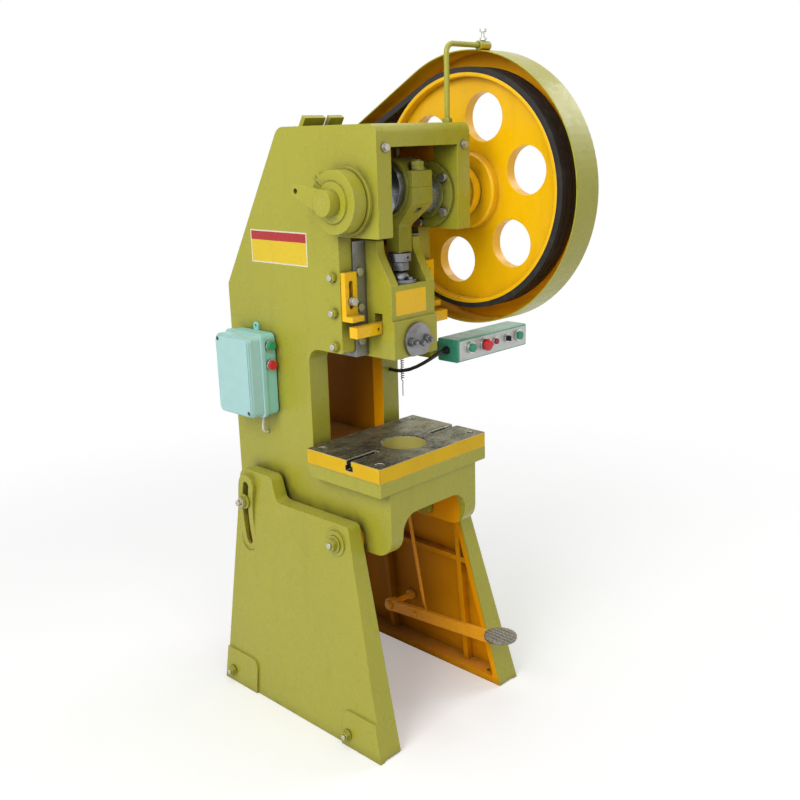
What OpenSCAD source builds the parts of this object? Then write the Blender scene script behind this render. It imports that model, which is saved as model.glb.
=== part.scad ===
// Open-back inclinable mechanical stamping press, millimetres.
// Origin: on the floor, midway between the four anchor holes. +X is the flywheel side,
// -Y is the operator's side and +Z is up. The ram stands at the top of its stroke.

/* [Table] */
// Width of the bolster plate
table_w = 360; // [330:1:400]
// Depth of the bolster plate, front to back
table_d = 240; // [225:1:244]
// Thickness of the bolster plate
table_t = 35; // [30:1:45]
// Height of the bolster's top above the floor
table_top = 675; // [660:1:700]
// Hole through the bolster
table_hole_d = 104; // [60:1:120]
// Distance from the ram axis to the bolster's front edge
table_front_gap = 98; // [90:1:110]
// Thickness of the ledge that carries the bolster
ledge_t = 33; // [25:1:40]
// Mouth width of a T-slot
tslot_w = 15; // [12:1:18]
// Width of a T-slot's foot
tslot_foot_w = 24; // [20:1:30]
// Length of a T-slot from the plate's end
tslot_len = 90; // [60:1:100]

/* [Frame] */
// Width over the two side plates
frame_w = 292; // [284:1:296]
// Thickness of a side plate behind the throat
plate_t = 56; // [48:1:60]
// Height of the frame's flat top
frame_top = 1395; // [1385:1:1410]
// Underside of the side plates
frame_bottom = 450; // [440:1:455]
// Rear edge of the side plates
frame_rear = 299; // [290:1:310]
// Back wall of the throat
throat_back = 11; // [5:1:20]
// Roof of the throat
throat_top = 905; // [890:1:912]
// Front face of the guideway columns
guide_front = -105; // [-108:1:-102]
// Front face of the crank head
head_front = -230; // [-236:1:-224]
// Underside of the crank head
head_bottom = 1164; // [1160:1:1166]
// Thickness of the crank head's side walls
head_wall = 42; // [38:1:46]
// Thickness of the crank head's roof
head_roof = 47; // [40:1:55]
// Front face of the nose below the table
nose_front = -240; // [-243:1:-236]
// Height of the arch in the nose
arch_top = 545; // [520:1:560]
// Where the sloping back starts on the flat top
slope_top_y = 79; // [70:1:90]
// Height at which the sloping back meets the rear edge
slope_end_z = 1031; // [1020:1:1045]

/* [Legs] */
// Half length of a leg's foot, front to back
leg_half_y = 289; // [280:1:300]
// Outer face of a leg at the floor, from the middle plane
leg_foot_out = 246; // [240:1:255]
// Inner edge of a leg at the floor, from the middle plane
leg_foot_in = 185; // [180:1:190]
// Height of a leg's top edge
leg_top = 522; // [515:1:530]
// Height of the lug that holds the tilt slot
leg_lug_top = 578; // [572:1:590]
// Thickness of a leg's outer panel
leg_panel_t = 14; // [10:1:18]
// Thickness of a leg's front and rear flanges
leg_flange_t = 20; // [14:1:24]
// Thickness of a foot flange
foot_t = 18; // [12:1:19]
// Spacing of the anchor holes, side to side
anchor_x = 416; // [410:1:424]
// Spacing of the anchor holes, front to back
anchor_y = 470; // [450:1:480]
// Diameter of an anchor hole
anchor_d = 18; // [14:1:20]

/* [Tilt] */
// Tilt pivot, front to back
pivot_y = -115; // [-118:1:-112]
// Tilt pivot, height
pivot_z = 476; // [473:1:480]
// Diameter of a tilt pivot bolt
pivot_d = 24; // [20:1:28]
// Radius of the tilt slot about the pivot
lock_r = 327; // [322:1:330]
// Angle of the lock bolt above the pivot
lock_angle = 4.2; // [3:0.1:6]
// Diameter of a lock bolt
lock_d = 20; // [16:1:22]

/* [Crank and drive] */
// Ram and crank axis, front to back
ram_y = -146; // [-148:1:-144]
// Height of the crank axis
crank_z = 1240; // [1238:1:1242]
// Stroke of the ram
stroke = 45; // [40:1:46]
// Main journal diameter
journal_d = 86; // [76:1:90]
// Shaft diameter under the flywheel
shaft_d = 76; // [60:1:76]
// Crankpin diameter
crankpin_d = 40; // [34:1:40]
// Diameter of a crank web
web_d = 112; // [106:1:114]
// Wall of the main bearing bushes
bush_t = 9; // [6:1:12]
// Left face of the flywheel's rim
flywheel_x = 223; // [222:1:226]
// Diameter of the flywheel's rim
flywheel_d = 530; // [520:1:536]
// Width of the flywheel's rim
flywheel_w = 64; // [63:1:68]
// Depth of the recess in the flywheel's face
flywheel_recess = 24; // [16:1:28]
// Thickness of the flywheel's web
flywheel_web_t = 28; // [20:1:32]
// Diameter of the flywheel's hub
flywheel_hub_d = 176; // [150:1:190]
// Diameter of a lightening hole
flywheel_hole_d = 110; // [90:1:114]
// Number of lightening holes
flywheel_holes = 6; // [4:1:6]
// Outer diameter of the motor pulley
pulley_d = 88; // [84:1:96]
// Thickness of a belt
belt_t = 14; // [10:1:15]
// Width of a belt
belt_w = 17; // [13:1:18]
// Number of belts
belt_count = 3; // [2:1:3]
// Inner radius of the guard around the flywheel
guard_r = 312; // [300:1:316]
// Sheet thickness of the guard
guard_t = 2.5; // [2:0.5:4]
// Left edge of the guard
guard_x = 228; // [226:1:230]
// Width of the guard
guard_w = 83; // [75:1:90]
// Centre height of the motor above its feet
motor_h = 90; // [88:1:95]
// Diameter of the motor's body
motor_d = 146; // [140:1:156]

/* [Ram] */
// Width of the ram between the gibs
ram_w = 140; // [136:1:142]
// Underside of the ram at the top of its stroke
ram_bottom = 889; // [885:1:893]
// Front face of the ram's lower block
ram_front = -192; // [-194:1:-190]
// Diameter of the tool shank hole
shank_d = 30; // [25:1:32]
// Depth of a gib's V-groove
gib_v = 14; // [8:1:14]
// Height of the knockout bar
bar_h = 24; // [20:1:26]
// Depth of the knockout bar, front to back
bar_t = 24; // [20:1:26]

/* [Boxes] */
// Width of the electrical box, front to back
ebox_w = 132; // [126:1:150]
// Height of the electrical box
ebox_h = 198; // [190:1:210]
// Depth of the electrical box
ebox_depth = 80; // [75:1:90]
// Length of the control box
control_w = 270; // [266:1:290]
// Height of the control box
control_h = 56; // [54:1:60]
// Depth of the control box
control_d = 64; // [60:1:70]

/* [Hidden] */
$fn = 64;

// Clearances
run = 0.05;
slip = 0.3;
slide = 0.4;
air = 0.5;

// Derived places: frame
half_w = frame_w / 2;
plate_in = half_w - plate_t;
head_in = half_w - head_wall;
roof_z = frame_top - head_roof;
under_in = half_w - 38;
apron_t = 20;
bed_top = table_top - table_t;
ledge_bottom = bed_top - ledge_t;
table_front = ram_y - table_front_gap;
table_back = table_front + table_d;
head_back = 20;
head_back_t = 22;
head_back_bottom = 1120;
slope_start = [slope_top_y, frame_top];
slope_end = [frame_rear, slope_end_z];
slope_run = slope_end - slope_start;
slope_len = norm(slope_run);
slope_dir = slope_run / slope_len;
slope_out = [-slope_dir.y, slope_dir.x];
slope_wall = 18;
bed_hole_d = table_hole_d + 26;
crank_centre = [ram_y, crank_z];
pin_z = crank_z + stroke / 2;
bore_d = journal_d + 2 * bush_t;
boss_t = 12;
boss_d = bore_d + 40;

// Derived places: guideways and ram
gib_in = ram_w / 2 + slide;
gib_out = 108;
gib_front = guide_front - 4;
gib_back = guide_front + 43;
gib_bottom = throat_top - 12;
gib_top = head_bottom - 14;
gib_z = [gib_bottom + 36, gib_bottom + 111, gib_bottom + 190];
gib_mid_y = (gib_front + gib_back) / 2;
ram_half = ram_w / 2;
ram_top = 1150;
ram_back = gib_back - 3;
ram_step_z = ram_bottom + 86;
ram_wall_top = ram_bottom + 163;
ram_face = ram_front + 6;
ram_pocket_half = 46;
ram_floor = ram_bottom + 141;
bar_z = ram_bottom + 57;
bar_slot_h = 44;
bar_y = [ram_y - bar_t / 2 + 2, ram_y + bar_t / 2 + 2];
bar_half = 148;
clamp_z = ram_bottom + 36;
clamp_face_t = 8;
clamp_r = 40;
clamp_flat = 2;
clamp_plug_d = 50;
stud_x = 25;
bracket_x = [108, 144];
bracket_t = 14;
bracket_foot_t = 12;
bracket_foot_y = guide_front - 34;
bracket_bottom = bar_z + bar_h + 9;
bracket_top = bracket_bottom + 107;

// Derived places: connecting rod
rod_half = 35;
rod_ring_d = 126;
rod_bore_d = crankpin_d + stroke + 2;
rod_ear_half = 31;
rod_ear_y = 74;
rod_ear_up = 35;
rod_ear_down = 36;
rod_neck_half = 20;
rod_bottom = pin_z - 144;
screw_d = 24;
seat_d = 76;
seat_neck_d = 54;
seat_top = ram_floor + 30;
ball_r = 22;
ball_z = ram_floor + 29;
web_in = rod_half + air;
web_t = 16;
web_out = web_in + web_t;

// Derived places: flywheel, belts, motor and guard
web_x = flywheel_x + flywheel_recess;
groove_depth = 2;
belt_pitch = 20;
belt_margin = (flywheel_w - belt_pitch * (belt_count - 1) - belt_w) / 2;
belt_x = flywheel_x + belt_margin;
flywheel_hub_end = flywheel_x + 73;
flywheel_hole_r = 171;
flywheel_hole_phase = 44;
belt_fly_r = flywheel_d / 2 - groove_depth + 0.4;
pulley_root_d = 64;
belt_pulley_r = pulley_root_d / 2 + 0.4;
motor_along = 215;
plate_lift = 20;
motor_plate_t = 12;
motor_lift = plate_lift + motor_plate_t + motor_h;
motor_centre = slope_start + motor_along * slope_dir + motor_lift * slope_out;
motor_x = [38, 207];
fan_cover_l = 42;
motor_shaft_d = 24;
guard_small_r = 66;
guard_open_r = 252;
sleeve_d = 20;
sleeve_r = guard_r + guard_t + sleeve_d / 2 - 1;
sleeve_top_dy = -44;
sleeve_low_dy = 160;
sleeve_top = [ram_y + sleeve_top_dy, crank_z + sqrt(pow(sleeve_r, 2) - pow(sleeve_top_dy, 2))];
sleeve_low = [ram_y + sleeve_low_dy, crank_z - sqrt(pow(sleeve_r, 2) - pow(sleeve_low_dy, 2))];
sleeve_x = [guard_x - 2, guard_x + 34];
guard_rod_d = 12;
guard_rod_x = 118;

// Derived places: brake on the left end of the crankshaft
drum_x = [-(half_w + 49), -(half_w + boss_t + 2)];
drum_d = 90;
band_d = 132;
arm_x = [-(half_w + 80), -(half_w + 50)];
arm_hub_d = 54;
arm_tip = [84, 23];

// Derived places: legs
leg_out_lean = 49 / 522;
leg_in_lean = 25 / 522;
leg_front_top = -152;
leg_lug_start = 101;
leg_lug_front = 122;
leg_rear_top = 241;
rail_x = half_w + air;
slot_face_x = 207;
slot_half = lock_d / 2 + 1;
slot_rim = 17;
slot_up = 11.4;
slot_down = -13.8;
pivot_face_x = 205.5;
pivot_pad_d = 60;
pivot_boss_d = 76;
foot_stud_d = 12;
foot_stud_z = 30;
foot_stud_y = [-179, 256];
foot_washer_d = 26;
lock_centre = [pivot_y + lock_r * cos(lock_angle), pivot_z + lock_r * sin(lock_angle)];
rib_t = 14;
rib_h = 22;
rib_front_y = -159;
rib_front_top = 430;
rib_rear_y = 112;
rib_cross_z = 310;
foot_pad_h = 88;
foot_pad_w = 130;
foot_pad_lift = 5;
foot_pad_root = 8;

// Derived places: pedal, pull rod and trip lever
pedal_x = [126, 138];
pedal_pivot = [48, 141];
pedal_pin = [-47, 146];
pedal_nose = [-290, 165];
pedal_pad_centre = [130, -330, 184];
pedal_pad_d = 80;
pedal_bar_h = 30;
pedal_stud_d = 16;
pedal_pin_d = 12;
rod_x = half_w + 7.5;
pull_rod_d = 9;
rod_low = [-61, 137];
rod_lean = [0.191, 0.9816];
rod_eye_along = 962;
rod_eye = rod_low + rod_eye_along * rod_lean;
rod_eye_d = 32;
rod_eye_hole_d = 20;
rod_eye_t = 6;
trip_pivot = [50, 1090];
trip_x = [half_w + 12, half_w + 22];
trip_stud_d = 20;
trip_hub_d = 38;
trip_tip = [-92, 1196];
trip_pin_d = 10;

// Derived places: electrical box and control box
ebox_front = 128;
ebox_z = 729;
ebox_lift = 3;
ebox_joint_x = -(half_w + ebox_lift + 37);
ebox_face_x = -(half_w + ebox_lift + ebox_depth);
ebox_wall = 3;
ebox_button_x = -(half_w + 20);
ebox_button_z = [ebox_z + 124, ebox_z + 170];
control_x = 176;
control_y = -164;
control_z = 834;
control_wall = 2;
panel_t = 1.5;
panel_inset = 4;
control_button_z = control_z + 32;
run_button_x = [control_x + 44, control_x + 233];
emergency_x = control_x + 95;
reset_x = control_x + 140;
key_x = control_x + 187;
gland_d = 16;
gland_at = [control_x, control_y + 36, control_z + 28];

// Hand-picked routes of the two short cables
ebox_cable_route = [[-166, 168, 729], [-166, 168, 716], [-167, 169, 704], [-167, 171, 693],
    [-165, 173, 684], [-160, 175, 678], [-153, 176, 675], [-146, 176, 674]];
control_cable_route = [[164, -128, 862], [154, -128, 861], [142, -125, 856], [131, -117, 848],
    [122, -104, 838], [115, -86, 827], [111, -64, 817], [111, -40, 810], [114, -16, 806],
    [117, -2, 805], [118, 11, 805]];
ebox_cable_d = 6;
control_cable_d = 9;

// Paint and metal colours
olive = [0.60, 0.60, 0.24];
orange = [0.93, 0.66, 0.05];
yellow = [0.93, 0.70, 0.05];
steel = [0.62, 0.63, 0.64];
dark_steel = [0.30, 0.31, 0.32];
black = [0.05, 0.05, 0.05];
mint = [0.62, 0.84, 0.80];
teal = [0.20, 0.55, 0.44];

// Outline helpers: [u, v, r] corners, each rounded by its own radius
function unit(v) = v / norm(v);
function corner_arc(a, p, b, r, n) =
    let (u = unit(a - p), w = unit(b - p), half = acos(u * w) / 2,
        reach = r / tan(half), centre = p + unit(u + w) * r / sin(half),
        from = p + u * reach - centre, to = p + w * reach - centre,
        a0 = atan2(from.y, from.x),
        turn = (atan2(to.y, to.x) - a0 + 540) % 360 - 180)
    [for (i = [0:n]) centre + r * [cos(a0 + turn * i / n), sin(a0 + turn * i / n)]];
function flat(p) = [p.x, p.y];
function outline(v, n = 6) = [for (i = [0:len(v) - 1])
    let (a = v[(i + len(v) - 1) % len(v)], p = v[i], b = v[(i + 1) % len(v)])
    each (p.z > 0 ? corner_arc(flat(a), flat(p), flat(b), p.z, n) : [flat(p)])];
function box_outline(u0, v0, u1, v1, r, n = 6) =
    outline([[u0, v0, r], [u1, v0, r], [u1, v1, r], [u0, v1, r]], n);
function polar(c, r, a) = c + r * [cos(a), sin(a)];
// Outline of a band drawn tight round two circles
function two_circles(c1, r1, c2, r2, n1 = 72, n2 = 16) =
    let (d = c2 - c1, base = atan2(d.y, d.x), lean = acos((r1 - r2) / norm(d)))
    concat([for (i = [0:n1]) polar(c1, r1, base + lean + (360 - 2 * lean) * i / n1)],
        [for (i = [0:n2]) polar(c2, r2, base - lean + 2 * lean * i / n2)]);
// Slot bent round a centre, with round ends
function arc_slot(c, r, a0, a1, half, n = 14) = concat(
    [for (i = [0:n]) polar(c, r + half, a0 + (a1 - a0) * i / n)],
    [for (i = [1:8]) polar(polar(c, r, a1), half, a1 + 180 * i / 8)],
    [for (i = [1:n]) polar(c, r - half, a1 + (a0 - a1) * i / n)],
    [for (i = [1:7]) polar(polar(c, r, a0), half, a0 + 180 + 180 * i / 8)]);

// Placing helpers
module across(x0, x1) { translate([x0, 0, 0]) rotate([90, 0, 90]) linear_extrude(x1 - x0) children(); }
module fore_aft(y0, y1) { translate([0, y1, 0]) rotate([90, 0, 0]) linear_extrude(y1 - y0) children(); }
module at_yz(p) { translate([0, p.x, p.y]) children(); }
module bar_x(x0, x1, d, fn = $fn) {
    translate([x0, 0, 0]) rotate([0, 90, 0]) cylinder(h = x1 - x0, d = d, $fn = fn);
}
module bar_y(y0, y1, d, fn = $fn) {
    translate([0, y0, 0]) rotate([-90, 0, 0]) cylinder(h = y1 - y0, d = d, $fn = fn);
}
module post(z0, z1, d, fn = $fn) { translate([0, 0, z0]) cylinder(h = z1 - z0, d = d, $fn = fn); }
module both_sides() { children(); mirror([1, 0, 0]) children(); }
function hex_d(across_flats) = across_flats / cos(30);
module nut_x(x0, x1, flats) { bar_x(x0, x1, hex_d(flats), 6); }
module nut_y(y0, y1, flats) { bar_y(y0, y1, hex_d(flats), 6); }
module nut_z(z0, z1, flats) { post(z0, z1, hex_d(flats), 6); }
function slope_pt(along, lift) = slope_start + along * slope_dir + lift * slope_out;
// Puts a piece in the sloping back's own frame: local y down the slope, local z outwards
module on_slope() {
    translate([0, slope_start.x, slope_start.y])
        rotate([atan2(slope_dir.y, slope_dir.x), 0, 0]) children();
}

// Round tube swept along a route, as one closed polyhedron
function route_dir(r, i) = unit(r[min(i + 1, len(r) - 1)] - r[max(i - 1, 0)]);
function side_of(d) = unit(cross(d, abs(d.z) > 0.9 ? [1, 0, 0] : [0, 0, 1]));
function ring_at(p, d, rad, n) = let (u = side_of(d), w = cross(d, u))
    [for (k = [0:n - 1]) p + rad * (cos(360 * k / n) * u + sin(360 * k / n) * w)];
module tube(route, d, n = 10) {
    count = len(route);
    points = [for (i = [0:count - 1]) each ring_at(route[i], route_dir(route, i), d / 2, n)];
    walls = [for (i = [0:count - 2], k = [0:n - 1]) each [
        [i * n + k, i * n + (k + 1) % n, (i + 1) * n + (k + 1) % n],
        [i * n + k, (i + 1) * n + (k + 1) % n, (i + 1) * n + k]]];
    first = [for (k = [0:n - 1]) n - 1 - k];
    last = [for (k = [0:n - 1]) (count - 1) * n + k];
    polyhedron(points, concat([first], walls, [last]), convexity = 10);
}

// Legs
function leg_out(z) = leg_foot_out - z * leg_out_lean;
function leg_in(z) = leg_foot_in - z * leg_in_lean;
function leg_front_y(z) = -leg_half_y + (leg_front_top + leg_half_y) * z / leg_top;
function leg_rear_y(z) = leg_half_y + (leg_rear_top - leg_half_y) * z / leg_lug_top;
leg_side = [[-leg_half_y, 0, 6], [leg_front_top, leg_top, 14], [leg_lug_start, leg_top - 2, 20],
    [leg_lug_front, leg_lug_top, 22], [leg_rear_top, leg_lug_top, 22], [leg_half_y, 0, 6]];
leg_pocket = [
    [leg_front_y(foot_t) + leg_flange_t, foot_t, 8],
    [leg_front_y(leg_top - leg_flange_t) + leg_flange_t, leg_top - leg_flange_t, 8],
    [leg_lug_start + leg_flange_t * 0.7, leg_top - leg_flange_t, 10],
    [leg_lug_front + leg_flange_t, leg_lug_top - leg_flange_t, 8],
    [leg_rear_y(leg_lug_top - leg_flange_t) - leg_flange_t, leg_lug_top - leg_flange_t, 8],
    [leg_rear_y(foot_t) - leg_flange_t, foot_t, 8]];

// Slab between two planes that lean like the leg's outer face and its inner edge
module leg_slab(out_shift, in_shift) {
    tall = leg_lug_top + 20;
    fore_aft(-leg_half_y - 20, leg_half_y + 20) polygon([
        [leg_out(0) + out_shift, 0], [leg_out(tall) + out_shift, tall],
        [leg_in(tall) + in_shift, tall], [leg_in(0) + in_shift, 0]]);
}
// Slab as thick as depth that leans like the leg's outer face and starts shift inside it
module panel_slab(shift, depth) {
    tall = leg_lug_top + 20;
    fore_aft(-leg_half_y - 20, leg_half_y + 20) polygon([
        [leg_out(0) - shift, 0], [leg_out(tall) - shift, tall],
        [leg_out(tall) - shift - depth, tall], [leg_out(0) - shift - depth, 0]]);
}
module leg_ribs() {
    intersection() {
        across(100, 300) union() {
            translate([rib_front_y, foot_t - 1]) square([rib_t, rib_front_top - foot_t + 1]);
            translate([rib_rear_y, foot_t - 1]) square([rib_t, leg_top - foot_t + 1]);
            translate([leg_front_y(rib_cross_z) + 10, rib_cross_z])
                square([leg_rear_y(rib_cross_z) - leg_front_y(rib_cross_z) - 20, rib_t]);
        }
        panel_slab(leg_panel_t - 1, rib_h);
    }
}
module foot_pads() {
    intersection() {
        across(100, 300) union() {
            polygon(outline([[-leg_half_y, 0, 0], [leg_front_y(foot_pad_h), foot_pad_h, 0],
                [-leg_half_y + foot_pad_w, foot_pad_h, 22], [-leg_half_y + foot_pad_w, 0, 0]]));
            polygon(outline([[leg_half_y, 0, 0], [leg_rear_y(foot_pad_h), foot_pad_h, 0],
                [leg_half_y - foot_pad_w, foot_pad_h, 22], [leg_half_y - foot_pad_w, 0, 0]]));
        }
        panel_slab(-foot_pad_lift, foot_pad_lift + foot_pad_root);
    }
}
module leg() {
    difference() {
        union() {
            difference() {
                intersection() {
                    across(100, 300) polygon(outline(leg_side));
                    leg_slab(0, 0);
                }
                intersection() {
                    across(100, 300) polygon(outline(leg_pocket));
                    leg_slab(-leg_panel_t, -60);
                }
            }
            leg_ribs();
            foot_pads();
            at_yz([pivot_y, pivot_z]) {
                bar_x(rail_x, leg_out(pivot_z) - 2, pivot_boss_d);
                bar_x(leg_out(pivot_z) - 8, pivot_face_x, pivot_pad_d);
            }
            across(rail_x, slot_face_x) polygon(arc_slot([pivot_y, pivot_z], lock_r,
                slot_down, slot_up, slot_half + slot_rim));
        }
        across(slot_face_x, slot_face_x + 40) polygon(arc_slot([pivot_y, pivot_z], lock_r,
            slot_down, slot_up, slot_half + slot_rim));
        across(rail_x - 10, slot_face_x + 40) polygon(arc_slot([pivot_y, pivot_z], lock_r,
            slot_down, slot_up, slot_half));
        at_yz([pivot_y, pivot_z]) {
            bar_x(pivot_face_x, pivot_face_x + 30, pivot_pad_d);
            bar_x(rail_x - 10, pivot_face_x + 10, pivot_d + 2 * slip);
        }
        for (y = foot_stud_y) at_yz([y, foot_stud_z]) {
            bar_x(foot_stud_in, 300, foot_stud_d + 2 * slip);
            bar_x(foot_face + 1, foot_face + 30, foot_washer_d + 2);
        }
        for (y = [-1, 1]) translate([anchor_x / 2, y * anchor_y / 2, -1]) post(0, foot_t + 2, anchor_d);
    }
}
module right_leg() {
    color(olive) difference() {
        leg();
        at_yz(pedal_pivot) bar_x(150, 300, pedal_stud_d + 2 * slip);
    }
}
module left_leg() { color(olive) mirror([1, 0, 0]) leg(); }

foot_face = leg_out(foot_stud_z) + foot_pad_lift;
foot_stud_in = leg_out(foot_stud_z) - leg_panel_t + 4;
module foot_studs() {
    color(steel) both_sides() for (y = foot_stud_y) at_yz([y, foot_stud_z])
        bar_x(foot_stud_in, foot_face + 17, foot_stud_d);
}
module foot_nuts() {
    color(steel) both_sides() for (y = foot_stud_y) at_yz([y, foot_stud_z]) difference() {
        union() {
            bar_x(foot_face + 1, foot_face + 3.5, foot_washer_d);
            nut_x(foot_face + 3, foot_face + 13, 19);
        }
        bar_x(foot_face, foot_face + 30, foot_stud_d + 2 * slip);
    }
}
module pivot_bolts() {
    color(steel) both_sides() at_yz([pivot_y, pivot_z]) {
        nut_x(under_in - 16, under_in - air, 36);
        bar_x(under_in - air - 1, pivot_face_x + 2, pivot_d);
        bar_x(pivot_face_x + slip, pivot_face_x + 4, 40);
        nut_x(pivot_face_x + 3.5, pivot_face_x + 15, 24);
        bar_x(pivot_face_x + 14, pivot_face_x + 20, 14);
    }
}
module pedal_stud() {
    panel_x = leg_out(pedal_pivot.y) - leg_panel_t;
    color(steel) at_yz(pedal_pivot) {
        bar_x(pedal_x[0] - 8, panel_x + 10, pedal_stud_d);
        bar_x(pedal_x[0] - 6, pedal_x[0] - slide, 24);
        bar_x(pedal_x[1] + slide, pedal_x[1] + 12, 28);
        nut_x(panel_x - 14, panel_x - 1.8, 24);
    }
}

// Frame casting: side plates, bed, nose and crank head in one piece
frame_side = [
    [head_front, head_bottom, 3], [head_front, frame_top, 20], [slope_top_y, frame_top, 32],
    [frame_rear, slope_end_z, 15], [frame_rear, frame_bottom, 25], [nose_front, frame_bottom, 50],
    [nose_front, bed_top, 0], [throat_back, bed_top, 0], [throat_back, throat_top, 34],
    [guide_front, throat_top, 6], [guide_front, head_bottom, 0]];
inner_space = [
    [guide_front - 5, bed_top], [frame_rear + 5, bed_top], [frame_rear + 5, slope_end_z - 50],
    slope_pt(slope_len - 10, -slope_wall), slope_pt(60, -slope_wall),
    [head_back + head_back_t, slope_pt(60, -slope_wall).y], [head_back + head_back_t, head_back_bottom],
    [guide_front - 5, head_back_bottom]];

// The ledge stands back a little under the bolster's ends
ledge_step = 1.5;
module ledge() {
    across(ledge_step - table_w / 2, table_w / 2 - ledge_step) polygon(outline([[table_front, ledge_bottom, 4],
        [table_front, bed_top, 0], [table_back, bed_top, 0], [table_back, ledge_bottom, 24]]));
}
module crank_bosses() {
    at_yz(crank_centre) {
        bar_x(-half_w - boss_t, -half_w + 5, boss_d);
        bar_x(half_w - 5, half_w + 6, boss_d - 14);
    }
}
module trip_stud() { at_yz(trip_pivot) bar_x(half_w - 5, trip_x[1] + 8, trip_stud_d); }
module frame_hollows() {
    translate([-head_in, head_front - 5, head_back_bottom - 2])
        cube([2 * head_in, head_back - head_front + 5, roof_z - head_back_bottom + 2]);
    across(-plate_in, plate_in) polygon(inner_space);
    both_sides() translate([plate_in - 5, guide_front - 5, throat_top - 5])
        cube([gib_out - plate_in + 5 + slip, gib_back - guide_front + 5 + slip, head_bottom - throat_top + 5]);
    translate([0, ram_y, 0]) post(ledge_bottom - 10, bed_top + 5, bed_hole_d);
    across(-under_in, under_in) polygon(outline([[nose_front + apron_t, frame_bottom - 5, 0],
        [frame_rear - apron_t, frame_bottom - 5, 0], [frame_rear - apron_t, ledge_bottom, 20],
        [nose_front + apron_t, ledge_bottom, 20]]));
    fore_aft(nose_front - 5, nose_front + apron_t + 5) polygon(outline([
        [-under_in, frame_bottom - 5, 0], [under_in, frame_bottom - 5, 0],
        [under_in, arch_top, 44], [-under_in, arch_top, 44]]));
}
module frame_bores() {
    at_yz(crank_centre) bar_x(-half_w - 30, half_w + 30, bore_d + 2 * slip);
    at_yz([pivot_y, pivot_z]) bar_x(-half_w - 5, half_w + 5, pivot_d + 2 * run);
    at_yz(lock_centre) bar_x(-half_w - 5, half_w + 5, lock_d + 2 * slip);
    both_sides() for (z = gib_z) at_yz([gib_mid_y, z - adjuster_drop]) bar_x(gib_out - 2, half_w + 5, adjuster_d + 2 * slip);
    translate([0, ebox_cable_route[7].y, ebox_cable_route[7].z])
        bar_x(-half_w - 5, -plate_in + 5, ebox_cable_d + 2);
    translate([control_cable_route[10].x, 0, control_cable_route[10].z])
        bar_y(throat_back + 1, throat_back + 60, control_cable_d + 2);
}
module frame_casting() {
    color(olive) difference() {
        union() {
            difference() {
                union() {
                    across(-half_w, half_w) polygon(outline(frame_side));
                    ledge();
                    crank_bosses();
                }
                frame_hollows();
            }
            trip_stud();
        }
        frame_bores();
    }
}

// Bolster plate with a through hole and two T-slots
bolt_inset = 26;
bolster_bolt_d = 12;
bolster_head_d = 18;
bolster_corners = [for (x = [-1, 1], y = [0, 1])
    [x * (table_w / 2 - bolt_inset), y == 0 ? table_front + bolt_inset : table_back - bolt_inset]];
module t_slot() {
    translate([table_w / 2 - tslot_len, ram_y - tslot_w / 2, table_top - 12])
        cube([tslot_len + 5, tslot_w, 17]);
    translate([table_w / 2 - tslot_len, ram_y - tslot_foot_w / 2, table_top - 25])
        cube([tslot_len + 5, tslot_foot_w, 13.5]);
}
module bolster_plate() {
    color(dark_steel) difference() {
        translate([0, 0, bed_top]) linear_extrude(table_t)
            polygon(box_outline(-table_w / 2, table_front, table_w / 2, table_back, 3));
        translate([0, ram_y, 0]) {
            post(bed_top - 5, table_top + 5, table_hole_d);
            translate([0, 0, table_top - 3])
                cylinder(h = 4, d1 = table_hole_d, d2 = table_hole_d + 8);
        }
        both_sides() t_slot();
        for (p = bolster_corners) translate([p.x, p.y, 0]) {
            post(bed_top - 5, table_top + 5, bolster_bolt_d + 2 * slip);
            post(table_top - 14, table_top + 5, bolster_head_d + 2 * slip);
        }
    }
}
module bolster_bolts() {
    color(dark_steel) for (p = bolster_corners) translate([p.x, p.y, 0]) difference() {
        union() {
            post(bed_top, table_top - 13.5, bolster_bolt_d);
            post(table_top - 14, table_top - 3, bolster_head_d);
        }
        nut_z(table_top - 9, table_top, 8);
    }
}
module tilt_lock_bolts() {
    color(steel) both_sides() at_yz(lock_centre) {
        nut_x(under_in - 14, under_in - slip, 30);
        bar_x(under_in - slip - 1, slot_face_x + 3, lock_d);
        bar_x(slot_face_x + slide, slot_face_x + 5, 38);
        nut_x(slot_face_x + 4.5, slot_face_x + 16, 22);
        bar_x(slot_face_x + 15, slot_face_x + 25, 14);
    }
}

// Gibs: steel guide strips with a V-groove, bolted in the columns
module gib() {
    difference() {
        translate([gib_in, gib_front, gib_bottom])
            cube([gib_out - gib_in, gib_back - gib_front, gib_top - gib_bottom]);
        translate([0, 0, gib_bottom - 5]) linear_extrude(gib_top - gib_bottom + 10)
            polygon([[gib_in - 1, gib_mid_y - gib_v - 1 - slide], [gib_in + gib_v + slide, gib_mid_y],
                [gib_in - 1, gib_mid_y + gib_v + 1 + slide]]);
        for (z = gib_z) translate([gib_screw_x, 0, z])
            bar_y(gib_front - 5, gib_front + 14, gib_screw_d + 2 * slip);
    }
}
gib_screw_x = 93;
gib_screw_d = 10;
adjuster_d = 14;
adjuster_drop = 8;
module right_gib() { color(dark_steel) gib(); }
module left_gib() { color(dark_steel) mirror([1, 0, 0]) gib(); }
module gib_screws() {
    color(steel) both_sides() for (z = gib_z) translate([gib_screw_x, 0, z]) {
        nut_y(gib_front - 7, gib_front, 17);
        bar_y(gib_front - 1, gib_front + 13, gib_screw_d);
    }
}
module gib_adjusters() {
    color(steel) both_sides() for (z = gib_z) at_yz([gib_mid_y, z - adjuster_drop]) {
        bar_x(gib_out, half_w + 15, adjuster_d);
        nut_x(half_w, half_w + 10, 19);
    }
}

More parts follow.
